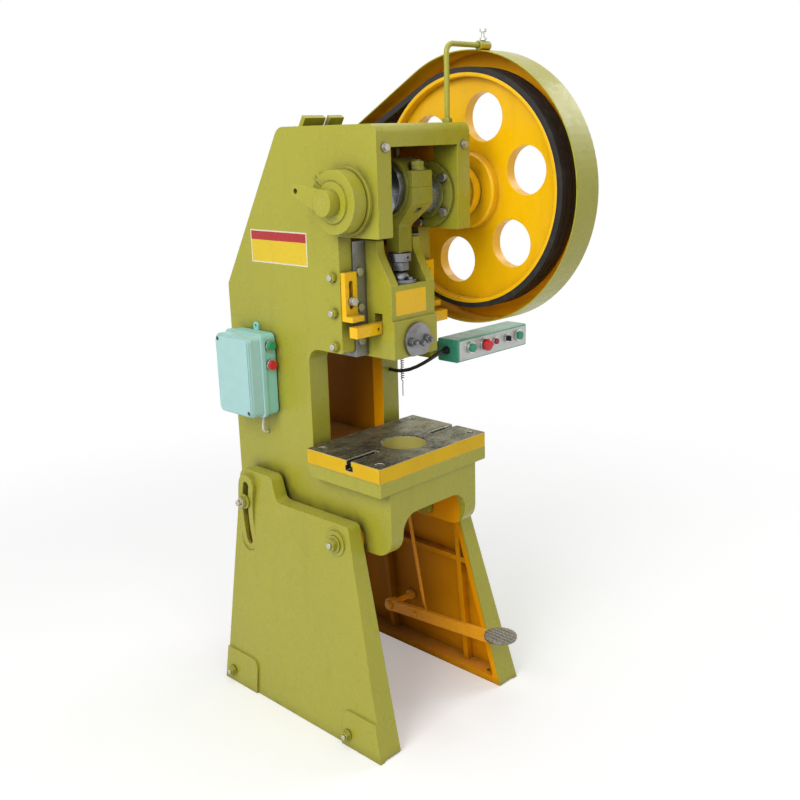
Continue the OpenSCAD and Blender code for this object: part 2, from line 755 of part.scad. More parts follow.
// Flanged main bearing bushes
flange_t = 9;
flange_d = bore_d + 44;
flange_bolt_r = bore_d / 2 + 13;
flange_bolt_angles = [36, 108, 180, 252, 324];
module main_bush() {
    at_yz(crank_centre) difference() {
        union() {
            bar_x(head_in - flange_t, head_in, flange_d);
            bar_x(head_in - flange_t - 6, head_in - flange_t + 1, bore_d);
            bar_x(head_in - 1, half_w + 4, bore_d);
        }
        bar_x(head_in - 40, half_w + 40, journal_d + 2 * run);
    }
}
module main_bushes() { color(olive) both_sides() main_bush(); }

// Bolts of the crank head, bearing flanges, brackets, guard clamps and motor
head_bolt_x = 124;
head_bolt_z = roof_z;
bracket_bolt_z = bracket_bottom + 44;
bracket_mid_x = (bracket_x[0] + bracket_x[1]) / 2;
brake_lug_angle = 42;
module frame_bolts() {
    color(steel) {
        both_sides() at_yz(crank_centre) for (a = flange_bolt_angles)
            rotate([-a, 0, 0]) translate([0, -flange_bolt_r, 0])
                bar_x(head_in - flange_t - 10, head_in - flange_t, 19);
        both_sides() translate([head_bolt_x, 0, head_bolt_z]) {
            bar_y(head_front - 5, head_front, 18);
            nut_y(head_front - 11, head_front - 4, 13);
        }
        both_sides() translate([bracket_mid_x, 0, bracket_bolt_z]) {
            bar_y(guide_front - bracket_t - 4, guide_front - bracket_t, 20);
            nut_y(guide_front - bracket_t - 12, guide_front - bracket_t - 3, 17);
        }
        at_yz(trip_pivot) difference() {
            bar_x(trip_x[1] + 1, trip_x[1] + 5, trip_stud_d + 10);
            bar_x(trip_x[1], trip_x[1] + 6, trip_stud_d + 2 * slip);
        }
        guard_clamp_screws();
        motor_bolts();
    }
}

// Slotted knockout brackets with a forward foot
module knockout_bracket() {
    difference() {
        union() {
            translate([bracket_x[0], guide_front - bracket_t, bracket_bottom])
                cube([bracket_x[1] - bracket_x[0], bracket_t, bracket_top - bracket_bottom]);
            translate([bracket_x[0], bracket_foot_y, bracket_bottom])
                cube([bracket_x[1] - bracket_x[0], guide_front - bracket_foot_y, bracket_foot_t]);
        }
        fore_aft(guide_front - bracket_t - 5, guide_front + 5)
            polygon(box_outline(bracket_mid_x - 6, bracket_bottom + 26, bracket_mid_x + 6,
                bracket_top - 18, 5.9));
    }
}
module knockout_brackets() { color(yellow) both_sides() knockout_bracket(); }

// Brake: a clamped band round the drum on the crankshaft's left end
module brake_band() {
    lug_r = band_d / 2;
    color(olive) at_yz(crank_centre) difference() {
        union() {
            bar_x(drum_x[0], drum_x[1], band_d);
            bar_x(drum_x[1] - 1, -half_w - boss_t, band_d - 24);
            rotate([brake_lug_angle, 0, 0]) translate([drum_x[0] + 8, lug_r - 8, -9])
                cube([20, 24, 18]);
        }
        bar_x(drum_x[0] - 5, -half_w, drum_d + 2 * air);
        rotate([brake_lug_angle, 0, 0]) translate([drum_x[0] - 5, drum_d / 2 - 4, -1])
            cube([drum_x[1] - drum_x[0] + 4, 60, 2]);
        rotate([brake_lug_angle, 0, 0]) translate([drum_x[0] + 18, lug_r + 7, -20]) post(0, 40, 8);
    }
}

// Flywheel guard: a sheet band with a rim panel on the far side and two clamp sleeves
guard_far = guard_x + guard_w;
module guard_sleeve(c) { at_yz(c) bar_x(sleeve_x[0], sleeve_x[1], sleeve_d); }
module flywheel_guard() {
    color(olive) difference() {
        union() {
            difference() {
                across(guard_x, guard_far) polygon(two_circles(crank_centre, guard_r + guard_t,
                    motor_centre, guard_small_r + guard_t));
                across(guard_x - 5, guard_far - guard_t) polygon(two_circles(crank_centre, guard_r,
                    motor_centre, guard_small_r));
                at_yz(crank_centre) bar_x(guard_far - 20, guard_far + 5, 2 * guard_open_r);
            }
            difference() {
                union() {
                    guard_sleeve(sleeve_top);
                    guard_sleeve(sleeve_low);
                }
                at_yz(crank_centre) bar_x(guard_x - 20, guard_far + 5, 2 * guard_r + guard_t);
            }
        }
        for (c = [sleeve_top, sleeve_low]) at_yz(c) bar_x(sleeve_x[0] - 5, sleeve_x[1] + 5, guard_rod_d + 2 * slip);
        translate([(sleeve_x[0] + sleeve_x[1]) / 2, sleeve_top.x, sleeve_top.y])
            post(0, sleeve_d, clamp_screw_d + 2 * slip);
        translate([(sleeve_x[0] + sleeve_x[1]) / 2, sleeve_low.x, sleeve_low.y])
            post(-sleeve_d, 0, clamp_screw_d + 2 * slip);
    }
}
clamp_screw_d = 8;
rod_bend_r = 20;
module guard_rods() {
    color(olive) {
        translate([guard_rod_x, sleeve_top.x, 0]) {
            post(frame_top, sleeve_top.y - rod_bend_r, guard_rod_d);
            nut_z(frame_top, frame_top + 9, 19);
        }
        translate([guard_rod_x + rod_bend_r, sleeve_top.x, sleeve_top.y - rod_bend_r])
            rotate([90, 0, 0]) rotate([0, 0, 90])
                rotate_extrude(angle = 90) translate([rod_bend_r, 0]) circle(d = guard_rod_d);
        at_yz(sleeve_top) bar_x(guard_rod_x + rod_bend_r, sleeve_x[1] + 4, guard_rod_d);
        at_yz(sleeve_low) {
            bar_x(half_w, sleeve_x[1] + 6, guard_rod_d);
            nut_x(half_w, half_w + 9, 19);
        }
    }
}
module guard_clamp_screws() {
    mid = (sleeve_x[0] + sleeve_x[1]) / 2;
    translate([mid, sleeve_top.x, sleeve_top.y]) {
        post(guard_rod_d / 2 + slip, 33, clamp_screw_d);
        nut_z(sleeve_d / 2 + 1, sleeve_d / 2 + 7, 14);
        nut_z(29, 36, 14);
    }
    translate([mid, sleeve_low.x, sleeve_low.y]) {
        post(-26, -guard_rod_d / 2 - slip, clamp_screw_d);
        nut_z(-26, -19, 14);
    }
}

// Motor on an adjustable plate behind the sloping back
plate_edge_x = [-62, 190];
plate_along = [-10, 366];
plate_start = 30;
lug_x = [[-52, 12], [26, 70]];
stud_along = [40, 346];
stud_plate_x = [-44, 110];
foot_x = [88, 168];
foot_along = 70;
module motor_plate() {
    color(olive) on_slope() difference() {
        union() {
            translate([plate_edge_x[0], plate_start, plate_lift])
                cube([plate_edge_x[1] - plate_edge_x[0], plate_along[1] - plate_start, motor_plate_t]);
            for (l = lug_x) translate([l[0], plate_along[0], plate_lift])
                cube([l[1] - l[0], plate_start + 1 - plate_along[0], motor_plate_t]);
        }
        for (x = stud_plate_x, a = stud_along) translate([x, a, 0]) post(0, 90, 16 + 2 * slip);
        for (x = foot_x, s = [-1, 1]) translate([x, motor_along + s * foot_along, 0]) post(0, 90, 10 + 2 * slip);
    }
}
module motor_bolts() {
    on_slope() {
        for (x = stud_plate_x, a = stud_along) translate([x, a, 0]) {
            post(0, plate_lift + motor_plate_t + 24, 16);
            nut_z(plate_lift - 14, plate_lift, 24);
            nut_z(plate_lift + motor_plate_t, plate_lift + motor_plate_t + 13, 24);
        }
        for (x = foot_x, s = [-1, 1]) translate([x, motor_along + s * foot_along, 0]) {
            post(plate_lift - 10, plate_lift + motor_plate_t + 22, 10);
            nut_z(plate_lift - 9, plate_lift, 17);
            nut_z(plate_lift + motor_plate_t + 12, plate_lift + motor_plate_t + 20, 17);
        }
    }
}
fin_count = 30;
fin_corners = [[9, 0], [9, 0.6], [0, 0.68], [0, 0.92]];
module motor() {
    body = [motor_x[0] + fan_cover_l + 2, motor_x[1] - 22];
    color(olive) difference() {
        union() {
            at_yz(motor_centre) {
                across(body[0], body[1]) polygon([for (i = [0:fin_count - 1], q = fin_corners)
                    polar([0, 0], motor_d / 2 - q[0], (i + q[1]) * 360 / fin_count)]);
                bar_x(motor_x[0] + fan_cover_l - 2, body[0] + 1, motor_d - 28);
                bar_x(motor_x[0], motor_x[0] + fan_cover_l, motor_d - 4);
                bar_x(body[1] - 0.5, motor_x[1] - 6, motor_d - 8);
                bar_x(motor_x[1] - 8, motor_x[1], 60);
                bar_x(motor_x[1] - 2, pulley_x[1] - 4, motor_shaft_d);
            }
            on_slope() translate([foot_x[0] - 16, motor_along - foot_along - 18, plate_lift + motor_plate_t])
                cube([foot_x[1] - foot_x[0] + 32, 2 * foot_along + 36, 12]);
            on_slope() for (s = [-1, 1])
                translate([foot_x[0] - 6, motor_along + s * 44 - 6, plate_lift + motor_plate_t])
                    cube([foot_x[1] - foot_x[0] + 12, 12, 50]);
            on_slope() translate([foot_x[0] + 8, motor_along - 40, motor_lift + motor_d / 2 - 16])
                cube([80, 80, 42]);
        }
        on_slope() for (x = foot_x, s = [-1, 1]) translate([x, motor_along + s * foot_along, 0])
            post(plate_lift, plate_lift + motor_plate_t + 40, 10 + 2 * slip);
        at_yz(motor_centre) for (r = [22 : 12 : 60]) difference() {
            bar_x(motor_x[0] - 5, motor_x[0] + 3, 2 * r + 6);
            bar_x(motor_x[0] - 6, motor_x[0] + 4, 2 * r);
        }
    }
}

// Belts: closed loops that ride in the grooves of the flywheel and the pulley
module v_belts() {
    color(black) for (i = [0:belt_count - 1]) difference() {
        across(belt_x + i * belt_pitch, belt_x + i * belt_pitch + belt_w)
            polygon(two_circles(crank_centre, belt_fly_r + belt_t, motor_centre, belt_pulley_r + belt_t, 96, 24));
        across(belt_x + i * belt_pitch - 5, belt_x + i * belt_pitch + belt_w + 5)
            polygon(two_circles(crank_centre, belt_fly_r, motor_centre, belt_pulley_r, 96, 24));
    }
}

// Electrical box on the left plate
ebox_back = ebox_front + ebox_w;
ebox_top = ebox_z + ebox_h;
ebox_mid_y = (ebox_front + ebox_back) / 2;
ebox_tab_z = 11;
ebox_screw_at = [[ebox_front + 14, ebox_z + 14], [ebox_back - 14, ebox_top - 14]];
module ebox_base() {
    back_x = -half_w - ebox_lift;
    color(mint) difference() {
        union() {
            across(ebox_joint_x, back_x)
                polygon(box_outline(ebox_front, ebox_z, ebox_back, ebox_top, 12));
            across(ebox_joint_x, ebox_joint_x + 5)
                polygon(box_outline(ebox_front - 3, ebox_z - 3, ebox_back + 3, ebox_top + 3, 14));
            for (z = [ebox_z - ebox_tab_z, ebox_top + ebox_tab_z]) at_yz([ebox_mid_y, z]) {
                bar_x(-half_w - 6, -half_w, 18);
            }
            across(-half_w - 6, -half_w)
                polygon(box_outline(ebox_mid_y - 9, ebox_z - ebox_tab_z, ebox_mid_y + 9, ebox_top + ebox_tab_z, 1));
        }
        across(ebox_joint_x - 5, back_x - ebox_wall) polygon(box_outline(ebox_front + ebox_wall,
            ebox_z + ebox_wall, ebox_back - ebox_wall, ebox_top - ebox_wall, 9));
        for (z = ebox_button_z) translate([ebox_button_x, 0, z])
            bar_y(ebox_front - 10, ebox_front + 10, collar_stem_d + 2 * slip);
        for (z = [ebox_z - ebox_tab_z, ebox_top + ebox_tab_z]) at_yz([ebox_mid_y, z])
            bar_x(-half_w - 10, -half_w + 5, 7);
        translate([ebox_cable_route[0].x, ebox_cable_route[0].y, 0])
            post(ebox_z - 10, ebox_z + 10, ebox_cable_d + 1);
    }
}
module ebox_lid() {
    rim = 3;
    color(mint) difference() {
        union() {
            across(ebox_joint_x - 6, ebox_joint_x)
                polygon(box_outline(ebox_front - rim, ebox_z - rim, ebox_back + rim, ebox_top + rim, 14));
            across(ebox_face_x + 8, ebox_joint_x - 5)
                polygon(box_outline(ebox_front + 2, ebox_z + 2, ebox_back - 2, ebox_top - 2, 12));
            across(ebox_face_x + 3, ebox_face_x + 9)
                polygon(box_outline(ebox_front + 4, ebox_z + 4, ebox_back - 4, ebox_top - 4, 12));
            across(ebox_face_x, ebox_face_x + 4)
                polygon(box_outline(ebox_front + 7, ebox_z + 7, ebox_back - 7, ebox_top - 7, 11));
        }
        across(ebox_face_x + 4, ebox_joint_x + 5) polygon(box_outline(ebox_front + 9, ebox_z + 9,
            ebox_back - 9, ebox_top - 9, 8));
        for (p = ebox_screw_at) at_yz(p) bar_x(ebox_face_x - 5, ebox_face_x + 2, 10);
    }
}
module ebox_screws() {
    color(steel) for (p = ebox_screw_at) at_yz(p) difference() {
        bar_x(ebox_face_x, ebox_face_x + 2, 8);
        translate([ebox_face_x - 1, -3, -0.8]) cube([2, 6, 1.6]);
    }
}
module ebox_cable() { color([0.9, 0.9, 0.87]) tube(ebox_cable_route, ebox_cable_d, 8); }

// Push buttons: a chromed collar with a stem, and a cap that slides in it
collar_d = 29;
collar_stem_d = 22;
collar_t = 7;
cap_d = 21;
cap_out = 5;
cap_in = 19;
module collar() {
    difference() {
        union() {
            bar_y(-collar_t, 0, collar_d);
            bar_y(-1, 18, collar_stem_d);
        }
        bar_y(-collar_t - 5, 30, cap_d - 3);
        bar_y(-collar_t - 5, -collar_t + 7, cap_d + 2 * run);
    }
}
module cap() {
    bar_y(-collar_t - cap_out, -collar_t + 1, cap_d);
    bar_y(-collar_t, cap_in - collar_t, cap_d - 4);
}
module ebox_button(z) { translate([ebox_button_x, ebox_front, z]) children(); }
module control_button(x) { translate([x, control_y - panel_t, control_button_z]) children(); }
module button_collars() {
    color(steel) {
        for (z = ebox_button_z) ebox_button(z) collar();
        for (x = run_button_x) control_button(x) collar();
        control_button(emergency_x) collar();
        control_button(reset_x) scale(small_scale) collar();
        control_button(key_x) scale(small_scale) collar();
    }
}
module start_button() { color([0.05, 0.55, 0.25]) ebox_button(ebox_button_z[1]) cap(); }
module stop_button() { color([0.75, 0.08, 0.10]) ebox_button(ebox_button_z[0]) cap(); }
module run_button_left() { color([0.05, 0.50, 0.25]) control_button(run_button_x[0]) cap(); }
module run_button_right() { color([0.05, 0.50, 0.25]) control_button(run_button_x[1]) cap(); }
module emergency_button() {
    color([0.80, 0.06, 0.08]) control_button(emergency_x) {
        cap();
        translate([0, -collar_t - cap_out, 0]) rotate([90, 0, 0]) {
            cylinder(h = 7, d = 30);
            translate([0, 0, 7]) cylinder(h = 4, d1 = 30, d2 = 20);
        }
    }
}

small_scale = 0.7;
module reset_button() { color([0.75, 0.08, 0.10]) control_button(reset_x) scale(small_scale) cap(); }
module mode_key() {
    color(dark_steel) control_button(key_x) scale(small_scale) {
        cap();
        translate([-2, -collar_t - cap_out - 10, -9]) cube([4, 11, 18]);
    }
}

// Control box on a bracket beside the right plate
module control_box() {
    color(teal) difference() {
        across(control_x, control_x + control_w) polygon(box_outline(control_y, control_z,
            control_y + control_d, control_z + control_h, 4));
        across(control_x + control_wall, control_x + control_w - control_wall)
            polygon(box_outline(control_y + control_wall, control_z + control_wall,
                control_y + control_d - control_wall, control_z + control_h - control_wall, 3));
        for (x = concat(run_button_x, [emergency_x])) control_button(x)
            bar_y(-5, 10, collar_stem_d + 2 * slip);
        for (x = [reset_x, key_x]) control_button(x) bar_y(-5, 10, small_scale * collar_stem_d + 2 * slip);
        translate(gland_at) bar_x(-5, 10, control_cable_d + 3);
    }
}
module control_panel() {
    color([0.80, 0.81, 0.80]) difference() {
        fore_aft(control_y - panel_t, control_y) polygon(box_outline(control_x + panel_inset,
            control_z + panel_inset, control_x + control_w - panel_inset,
            control_z + control_h - panel_inset, 3));
        for (x = concat(run_button_x, [emergency_x])) control_button(x)
            bar_y(-5, 10, collar_stem_d + 2 * slip);
        for (x = [reset_x, key_x]) control_button(x) bar_y(-5, 10, small_scale * collar_stem_d + 2 * slip);
    }
}
module control_bracket() {
    arm_y = control_y + control_d;
    color(olive) {
        across(half_w, half_w + 6) polygon([[arm_y, control_z + 10], [arm_y, control_z + 46],
            [-66, throat_top + 5], [-66, throat_top + 60], [-24, throat_top + 60],
            [-24, throat_top - 30], [-60, control_z + 10]]);
        translate([half_w, arm_y, control_z + 10]) cube([control_x - half_w + 90, 6, 36]);
    }
}
module control_gland() {
    color(black) translate(gland_at) difference() {
        union() {
            nut_x(-5, 0, 18);
            bar_x(-12, -4, gland_d - 2);
        }
        bar_x(-20, 5, control_cable_d + 2 * slip);
    }
}
module control_cable() { color(black) tube(control_cable_route, control_cable_d, 10); }

// Crankshaft and what turns with it
module crankshaft() {
    color(steel) {
        at_yz(crank_centre) {
            bar_x(-half_w - 52, -web_out + 1, journal_d);
            bar_x(web_out - 1, half_w + 16, journal_d);
            bar_x(half_w + 15, flywheel_hub_end + 6, shaft_d);
            bar_x(arm_x[0], -half_w - 50, 30);
        }
        at_yz([ram_y, pin_z]) {
            bar_x(-web_out, -web_in, web_d);
            bar_x(web_in, web_out, web_d);
            bar_x(-web_in - 1, web_in + 1, crankpin_d);
        }
    }
}
module brake_drum() {
    color(olive) at_yz(crank_centre) difference() {
        bar_x(drum_x[0], -half_w - 6, drum_d);
        bar_x(drum_x[0] - 5, drum_x[1] + 20, journal_d + 2 * run);
    }
}
module shaft_arm() {
    color(olive) at_yz(crank_centre) difference() {
        union() {
            bar_x(arm_x[0], arm_x[1] - 2, arm_hub_d);
            across(arm_x[0] + 4, arm_x[0] + 18) polygon(two_circles([0, 0], arm_hub_d / 2 - 3, arm_tip, 15, 40, 16));
        }
        bar_x(arm_x[0] - 5, arm_x[1] + 5, 30 + 2 * run);
        at_yz(arm_tip) bar_x(arm_x[0] - 5, arm_x[1] + 5, 12);
    }
}
collar_x = [half_w + 30, flywheel_x - 1.5];
module clutch_collar() {
    color(yellow) at_yz(crank_centre) difference() {
        union() {
            bar_x(collar_x[0], collar_x[1], 108);
            bar_x(collar_x[0] + 12, collar_x[1] - 12, 122);
        }
        bar_x(collar_x[0] - 5, collar_x[1] + 5, shaft_d + 2 * run);
        rotate([20, 0, 0]) translate([collar_x[0] + 14, 48, -9]) cube([collar_x[1] - collar_x[0] - 28, 20, 18]);
    }
}
module shaft_retainer() {
    color(steel) at_yz(crank_centre) {
        bar_x(flywheel_hub_end + 6, flywheel_hub_end + 13, shaft_d + 26);
        nut_x(flywheel_hub_end + 12, flywheel_hub_end + 22, 30);
    }
}

// Flywheel with a recessed web, round holes and shallow belt grooves
module flywheel() {
    rim_r = flywheel_d / 2;
    rim_in = rim_r - 9;
    rim_thick = rim_r - 34;
    hub_r = flywheel_hub_d / 2;
    bore_r = shaft_d / 2 + run;
    web_far = web_x + flywheel_web_t;
    rim_far = flywheel_x + flywheel_w;
    grooves = [for (i = [0:belt_count - 1]) let (x = belt_x + i * belt_pitch)
        each [[rim_r, x - 0.8], [rim_r - groove_depth, x - 0.8],
            [rim_r - groove_depth, x + belt_w + 0.8], [rim_r, x + belt_w + 0.8]]];
    profile = concat(
        [[bore_r, flywheel_x], [hub_r - 4, flywheel_x], [hub_r, flywheel_x + 4], [hub_r, web_x],
            [rim_in, web_x], [rim_in, flywheel_x + 2], [rim_in + 2, flywheel_x],
            [rim_r - 1.2, flywheel_x], [rim_r, flywheel_x + 0.4]],
        grooves,
        [[rim_r, rim_far], [rim_thick, rim_far], [rim_thick, web_far], [hub_r, web_far],
            [hub_r, flywheel_hub_end], [bore_r, flywheel_hub_end]]);
    color(yellow) at_yz(crank_centre) difference() {
        rotate([0, 90, 0]) rotate_extrude($fn = 180) polygon(profile);
        for (i = [0:flywheel_holes - 1]) rotate([flywheel_hole_phase + i * 360 / flywheel_holes, 0, 0])
            translate([0, flywheel_hole_r, 0]) bar_x(flywheel_x, rim_far + 5, flywheel_hole_d);
    }
}

// Motor pulley
pulley_x = [flywheel_x, flywheel_x + flywheel_w];
module motor_pulley() {
    color(dark_steel) at_yz(motor_centre) difference() {
        bar_x(pulley_x[0], pulley_x[1], pulley_d);
        for (i = [0:belt_count - 1]) difference() {
            bar_x(belt_x + i * belt_pitch - 0.8, belt_x + i * belt_pitch + belt_w + 0.8, pulley_d + 10);
            bar_x(belt_x - 10, pulley_x[1] + 10, pulley_root_d);
        }
        bar_x(pulley_x[0] - 5, pulley_x[1] - 3, motor_shaft_d + 2 * run);
    }
}

// Ram: guided block with a tool shank hole, a cross slot and a pocket for the ball seat
ram_side = [[ram_front, ram_bottom, 3], [ram_front, ram_step_z, 2], [ram_face, ram_step_z, 0],
    [ram_face, ram_wall_top, 3], [ram_y + 2, ram_wall_top + 72, 46], [ram_y + 2, ram_top, 4],
    [ram_back, ram_top, 0], [ram_back, ram_bottom, 0]];
module bar_slot() {
    translate([-ram_w, bar_y[0] - air, bar_z - air]) cube([2 * ram_w, bar_t + 2 * air, bar_slot_h + air]);
}
module ram() {
    color(olive) difference() {
        union() {
            across(-ram_half, ram_half) polygon(outline(ram_side));
            translate([0, 0, ram_bottom]) linear_extrude(ram_top - ram_bottom) polygon([
                [-ram_half, gib_mid_y - gib_v], [ram_half, gib_mid_y - gib_v],
                [ram_half + gib_v - 1, gib_mid_y - 0.6], [ram_half + gib_v - 1, gib_mid_y + 0.6],
                [ram_half, gib_mid_y + gib_v], [-ram_half, gib_mid_y + gib_v],
                [-ram_half - gib_v + 1, gib_mid_y + 0.6], [-ram_half - gib_v + 1, gib_mid_y - 0.6]]);
        }
        translate([-ram_pocket_half, ram_face + 12, ram_floor])
            cube([2 * ram_pocket_half, ram_back - ram_face, ram_top - ram_floor + 5]);
        translate([-ram_pocket_half, ram_front - 5, ram_wall_top])
            cube([2 * ram_pocket_half, ram_back - ram_front, ram_top - ram_wall_top + 5]);
        bar_slot();
        translate([0, ram_y, 0]) post(ram_bottom - 5, bar_z, shank_d);
        translate([0, 0, clamp_z]) bar_y(ram_front - 5, ram_y, clamp_plug_d + 2 * slip);
        for (s = [-1, 1]) translate([s * stud_x, 0, clamp_z]) bar_y(ram_front - 5, ram_y, 10 + 2 * slip);
    }
}
module shank_clamp() {
    color(steel) difference() {
        translate([0, 0, clamp_z]) {
            bar_y(ram_front - clamp_face_t, ram_front, 2 * clamp_r);
            bar_y(ram_front - 1, ram_y - 2, clamp_plug_d);
        }
        translate([-clamp_r - 5, ram_front - 20, clamp_z - 2 * clamp_r])
            cube([2 * clamp_r + 10, 20, ram_bottom + clamp_flat - clamp_z + 2 * clamp_r]);
        bar_slot();
        translate([0, ram_y, 0]) post(ram_bottom - 10, bar_z + 10, shank_d);
        for (s = [-1, 1]) translate([s * stud_x, 0, clamp_z]) bar_y(ram_front - 30, ram_y + 10, 10 + 2 * slip);
        translate([set_screw_x, 0, clamp_z - 3]) bar_y(ram_front - 30, ram_y, 10 + 2 * slip);
    }
}
set_screw_x = -6;
module clamp_hardware() {
    face = ram_front - clamp_face_t;
    color(steel) {
        for (s = [-1, 1]) translate([s * stud_x, 0, clamp_z]) {
            bar_y(face - 20, ram_y - 20, 10);
            nut_y(face - 12, face, 17);
        }
        translate([set_screw_x, 0, clamp_z - 3]) {
            bar_y(face - 16, ram_y - 18, 10);
            bar_y(face - 24, face - 15, 14, 4);
        }
    }
}

// Ball seat, connecting rod and its adjusting screw
module ball_seat() {
    color(steel) translate([0, ram_y, 0]) difference() {
        union() {
            post(ram_floor, seat_top, seat_neck_d);
            post(ram_wall_top, seat_top, seat_d);
            for (a = [30 : 120 : 270]) rotate([0, 0, a]) translate([30, 0, 0]) {
                nut_z(seat_top - 1, seat_top + 6, 13);
            }
        }
        translate([0, 0, ball_z]) sphere(r = ball_r + slip);
        post(ball_z, seat_top + 20, screw_d + 16);
    }
}
rod_side = [[ram_y - rod_ear_y, pin_z - rod_ear_down, 4], [ram_y - rod_ear_y, pin_z, 0],
    [ram_y + rod_ear_y, pin_z, 0], [ram_y + rod_ear_y, pin_z - rod_ear_down, 4],
    [ram_y + rod_neck_half, pin_z - 84, 16], [ram_y + rod_neck_half, rod_bottom, 3],
    [ram_y - rod_neck_half, rod_bottom, 3], [ram_y - rod_neck_half, pin_z - 84, 16]];
rod_front = [[-rod_ear_half, pin_z + 5, 0], [rod_ear_half, pin_z + 5, 0],
    [rod_ear_half, pin_z - 48, 10], [rod_neck_half, pin_z - 88, 10], [rod_neck_half, rod_bottom, 3],
    [-rod_neck_half, rod_bottom, 3], [-rod_neck_half, pin_z - 88, 10], [-rod_ear_half, pin_z - 48, 10]];
cap_bolt_d = 18;
cap_bolt_y = 58;
cap_nut_af = 27;
module con_rod() {
    color(olive) difference() {
        union() {
            intersection() {
                across(-rod_half, rod_half) polygon(outline(rod_side));
                fore_aft(ram_y - 120, ram_y + 120) polygon(outline(rod_front));
            }
            intersection() {
                at_yz([ram_y, pin_z]) bar_x(-rod_half, rod_half, rod_ring_d);
                translate([-100, ram_y - 100, pin_z - 100]) cube([200, 200, 100]);
            }
        }
        at_yz([ram_y, pin_z]) bar_x(-rod_half - 5, rod_half + 5, rod_bore_d);
        translate([0, ram_y, 0]) post(rod_bottom - 5, rod_bottom + 60, screw_d + 2 * slip);
        for (s = [-1, 1]) translate([0, ram_y + s * cap_bolt_y, 0]) post(pin_z - 60, pin_z + 5, cap_bolt_d + 2 * slip);
    }
}
module con_rod_cap() {
    color(olive) difference() {
        union() {
            intersection() {
                at_yz([ram_y, pin_z]) bar_x(-rod_half, rod_half, rod_ring_d);
                translate([-100, ram_y - 100, pin_z + 0.4]) cube([200, 200, 100]);
            }
            across(-rod_ear_half, rod_ear_half) polygon(outline([[ram_y - rod_ear_y, pin_z + 0.4, 0],
                [ram_y + rod_ear_y, pin_z + 0.4, 0], [ram_y + rod_ear_y, pin_z + rod_ear_up, 5],
                [ram_y - rod_ear_y, pin_z + rod_ear_up, 5]]));
        }
        at_yz([ram_y, pin_z]) bar_x(-rod_half - 5, rod_half + 5, rod_bore_d);
        for (s = [-1, 1]) translate([0, ram_y + s * cap_bolt_y, 0]) {
            post(pin_z - 5, pin_z + 80, cap_bolt_d + 2 * slip);
            post(pin_z + rod_ear_up, pin_z + 80, hex_d(cap_nut_af) + 2);
        }
    }
}
module cap_hardware() {
    top = pin_z + rod_ear_up;
    color(olive) for (s = [-1, 1]) translate([0, ram_y + s * cap_bolt_y, 0]) {
        post(pin_z - 44, top + 22, cap_bolt_d);
        nut_z(top, top + 10, cap_nut_af);
        nut_z(top + 10.5, top + 19, cap_nut_af);
    }
    color(dark_steel) translate([0, ram_y, pin_z + rod_ring_d / 2]) {
        post(slip / 2, 6, 8);
        post(5, 16, 13);
        post(15, 19, 10);
    }
}
module ball_screw() {
    color(steel) translate([0, ram_y, 0]) difference() {
        union() {
            post(ball_z, rod_bottom + 55, screw_d);
            translate([0, 0, ball_z]) sphere(r = ball_r);
            nut_z(rod_bottom - 39, rod_bottom - 21, 36);
            post(rod_bottom - 19, rod_bottom - 0.5, 52);
        }
        for (a = [0 : 90 : 270]) rotate([0, 0, a]) translate([0, 0, rod_bottom - 10]) bar_y(20, 40, 6);
    }
}

// Knockout spring that hangs in the shank hole, and the bar across the ram
spring_d = 9;
spring_wire_d = 2;
spring_top = bar_z - spring_wire_d / 2 - slip;
spring_bottom = ram_bottom - 62;
spring_pitch = 5;
spring_steps = 8;
module knockout_spring() {
    turns = (spring_top - spring_bottom) / spring_pitch;
    coil = [for (i = [0 : floor(turns * spring_steps)]) let (a = i * 360 / spring_steps)
        [(spring_d - spring_wire_d) / 2 * cos(a), ram_y + (spring_d - spring_wire_d) / 2 * sin(a),
            spring_top - i * spring_pitch / spring_steps]];
    tail = coil[len(coil) - 1];
    color(dark_steel) tube(concat(coil, [[1, ram_y, tail.z - 6], [0, ram_y, tail.z - 14],
        [0, ram_y, tail.z - 40]]), spring_wire_d, 6);
}
module knockout_bar() {
    color(yellow) difference() {
        translate([-bar_half, bar_y[0], bar_z]) cube([2 * bar_half, bar_t, bar_h]);
        for (s = [-1, 1]) translate([s * (ram_half + 12), 0, bar_z + bar_h / 2]) bar_y(bar_y[0] - 5, bar_y[1] + 5, 8);
    }
}

// Pedal, pull rod and clutch trip lever
module pedal() {
    lever_dir = unit(pedal_nose - pedal_pivot);
    lever_up = [-lever_dir.y, lever_dir.x] * (lever_dir.x < 0 ? -1 : 1);
    half = pedal_bar_h / 2;
    tail = pedal_pivot - 12 * lever_dir;
    nose = pedal_nose;
    color(orange) difference() {
        union() {
            across(pedal_x[0], pedal_x[1]) polygon([tail + half * lever_up, nose + half * lever_up,
                nose - half * lever_up, tail - half * lever_up]);
            at_yz(pedal_pivot) bar_x(pedal_x[0], pedal_x[1], pedal_bar_h + 4);
            at_yz(pedal_pin) bar_x(pedal_x[0] - 6, rod_x + rod_eye_t / 2 + 4, pedal_pin_d);
            translate([pedal_x[0], nose.x - 30, nose.y + half - 14])
                cube([pedal_x[1] - pedal_x[0], 34, 12]);
        }
        at_yz(pedal_pivot) bar_x(pedal_x[0] - 5, pedal_x[1] + 5, pedal_stud_d + 2 * run);
    }
    color(steel) translate(pedal_pad_centre) difference() {
        post(-6, 0, pedal_pad_d);
        for (x = [-24 : 12 : 24]) translate([x - 1.5, -60, -1.2]) cube([3, 120, 5]);
        for (y = [-24 : 12 : 24]) translate([-60, y - 1.5, -1.2]) cube([120, 3, 5]);
    }
}
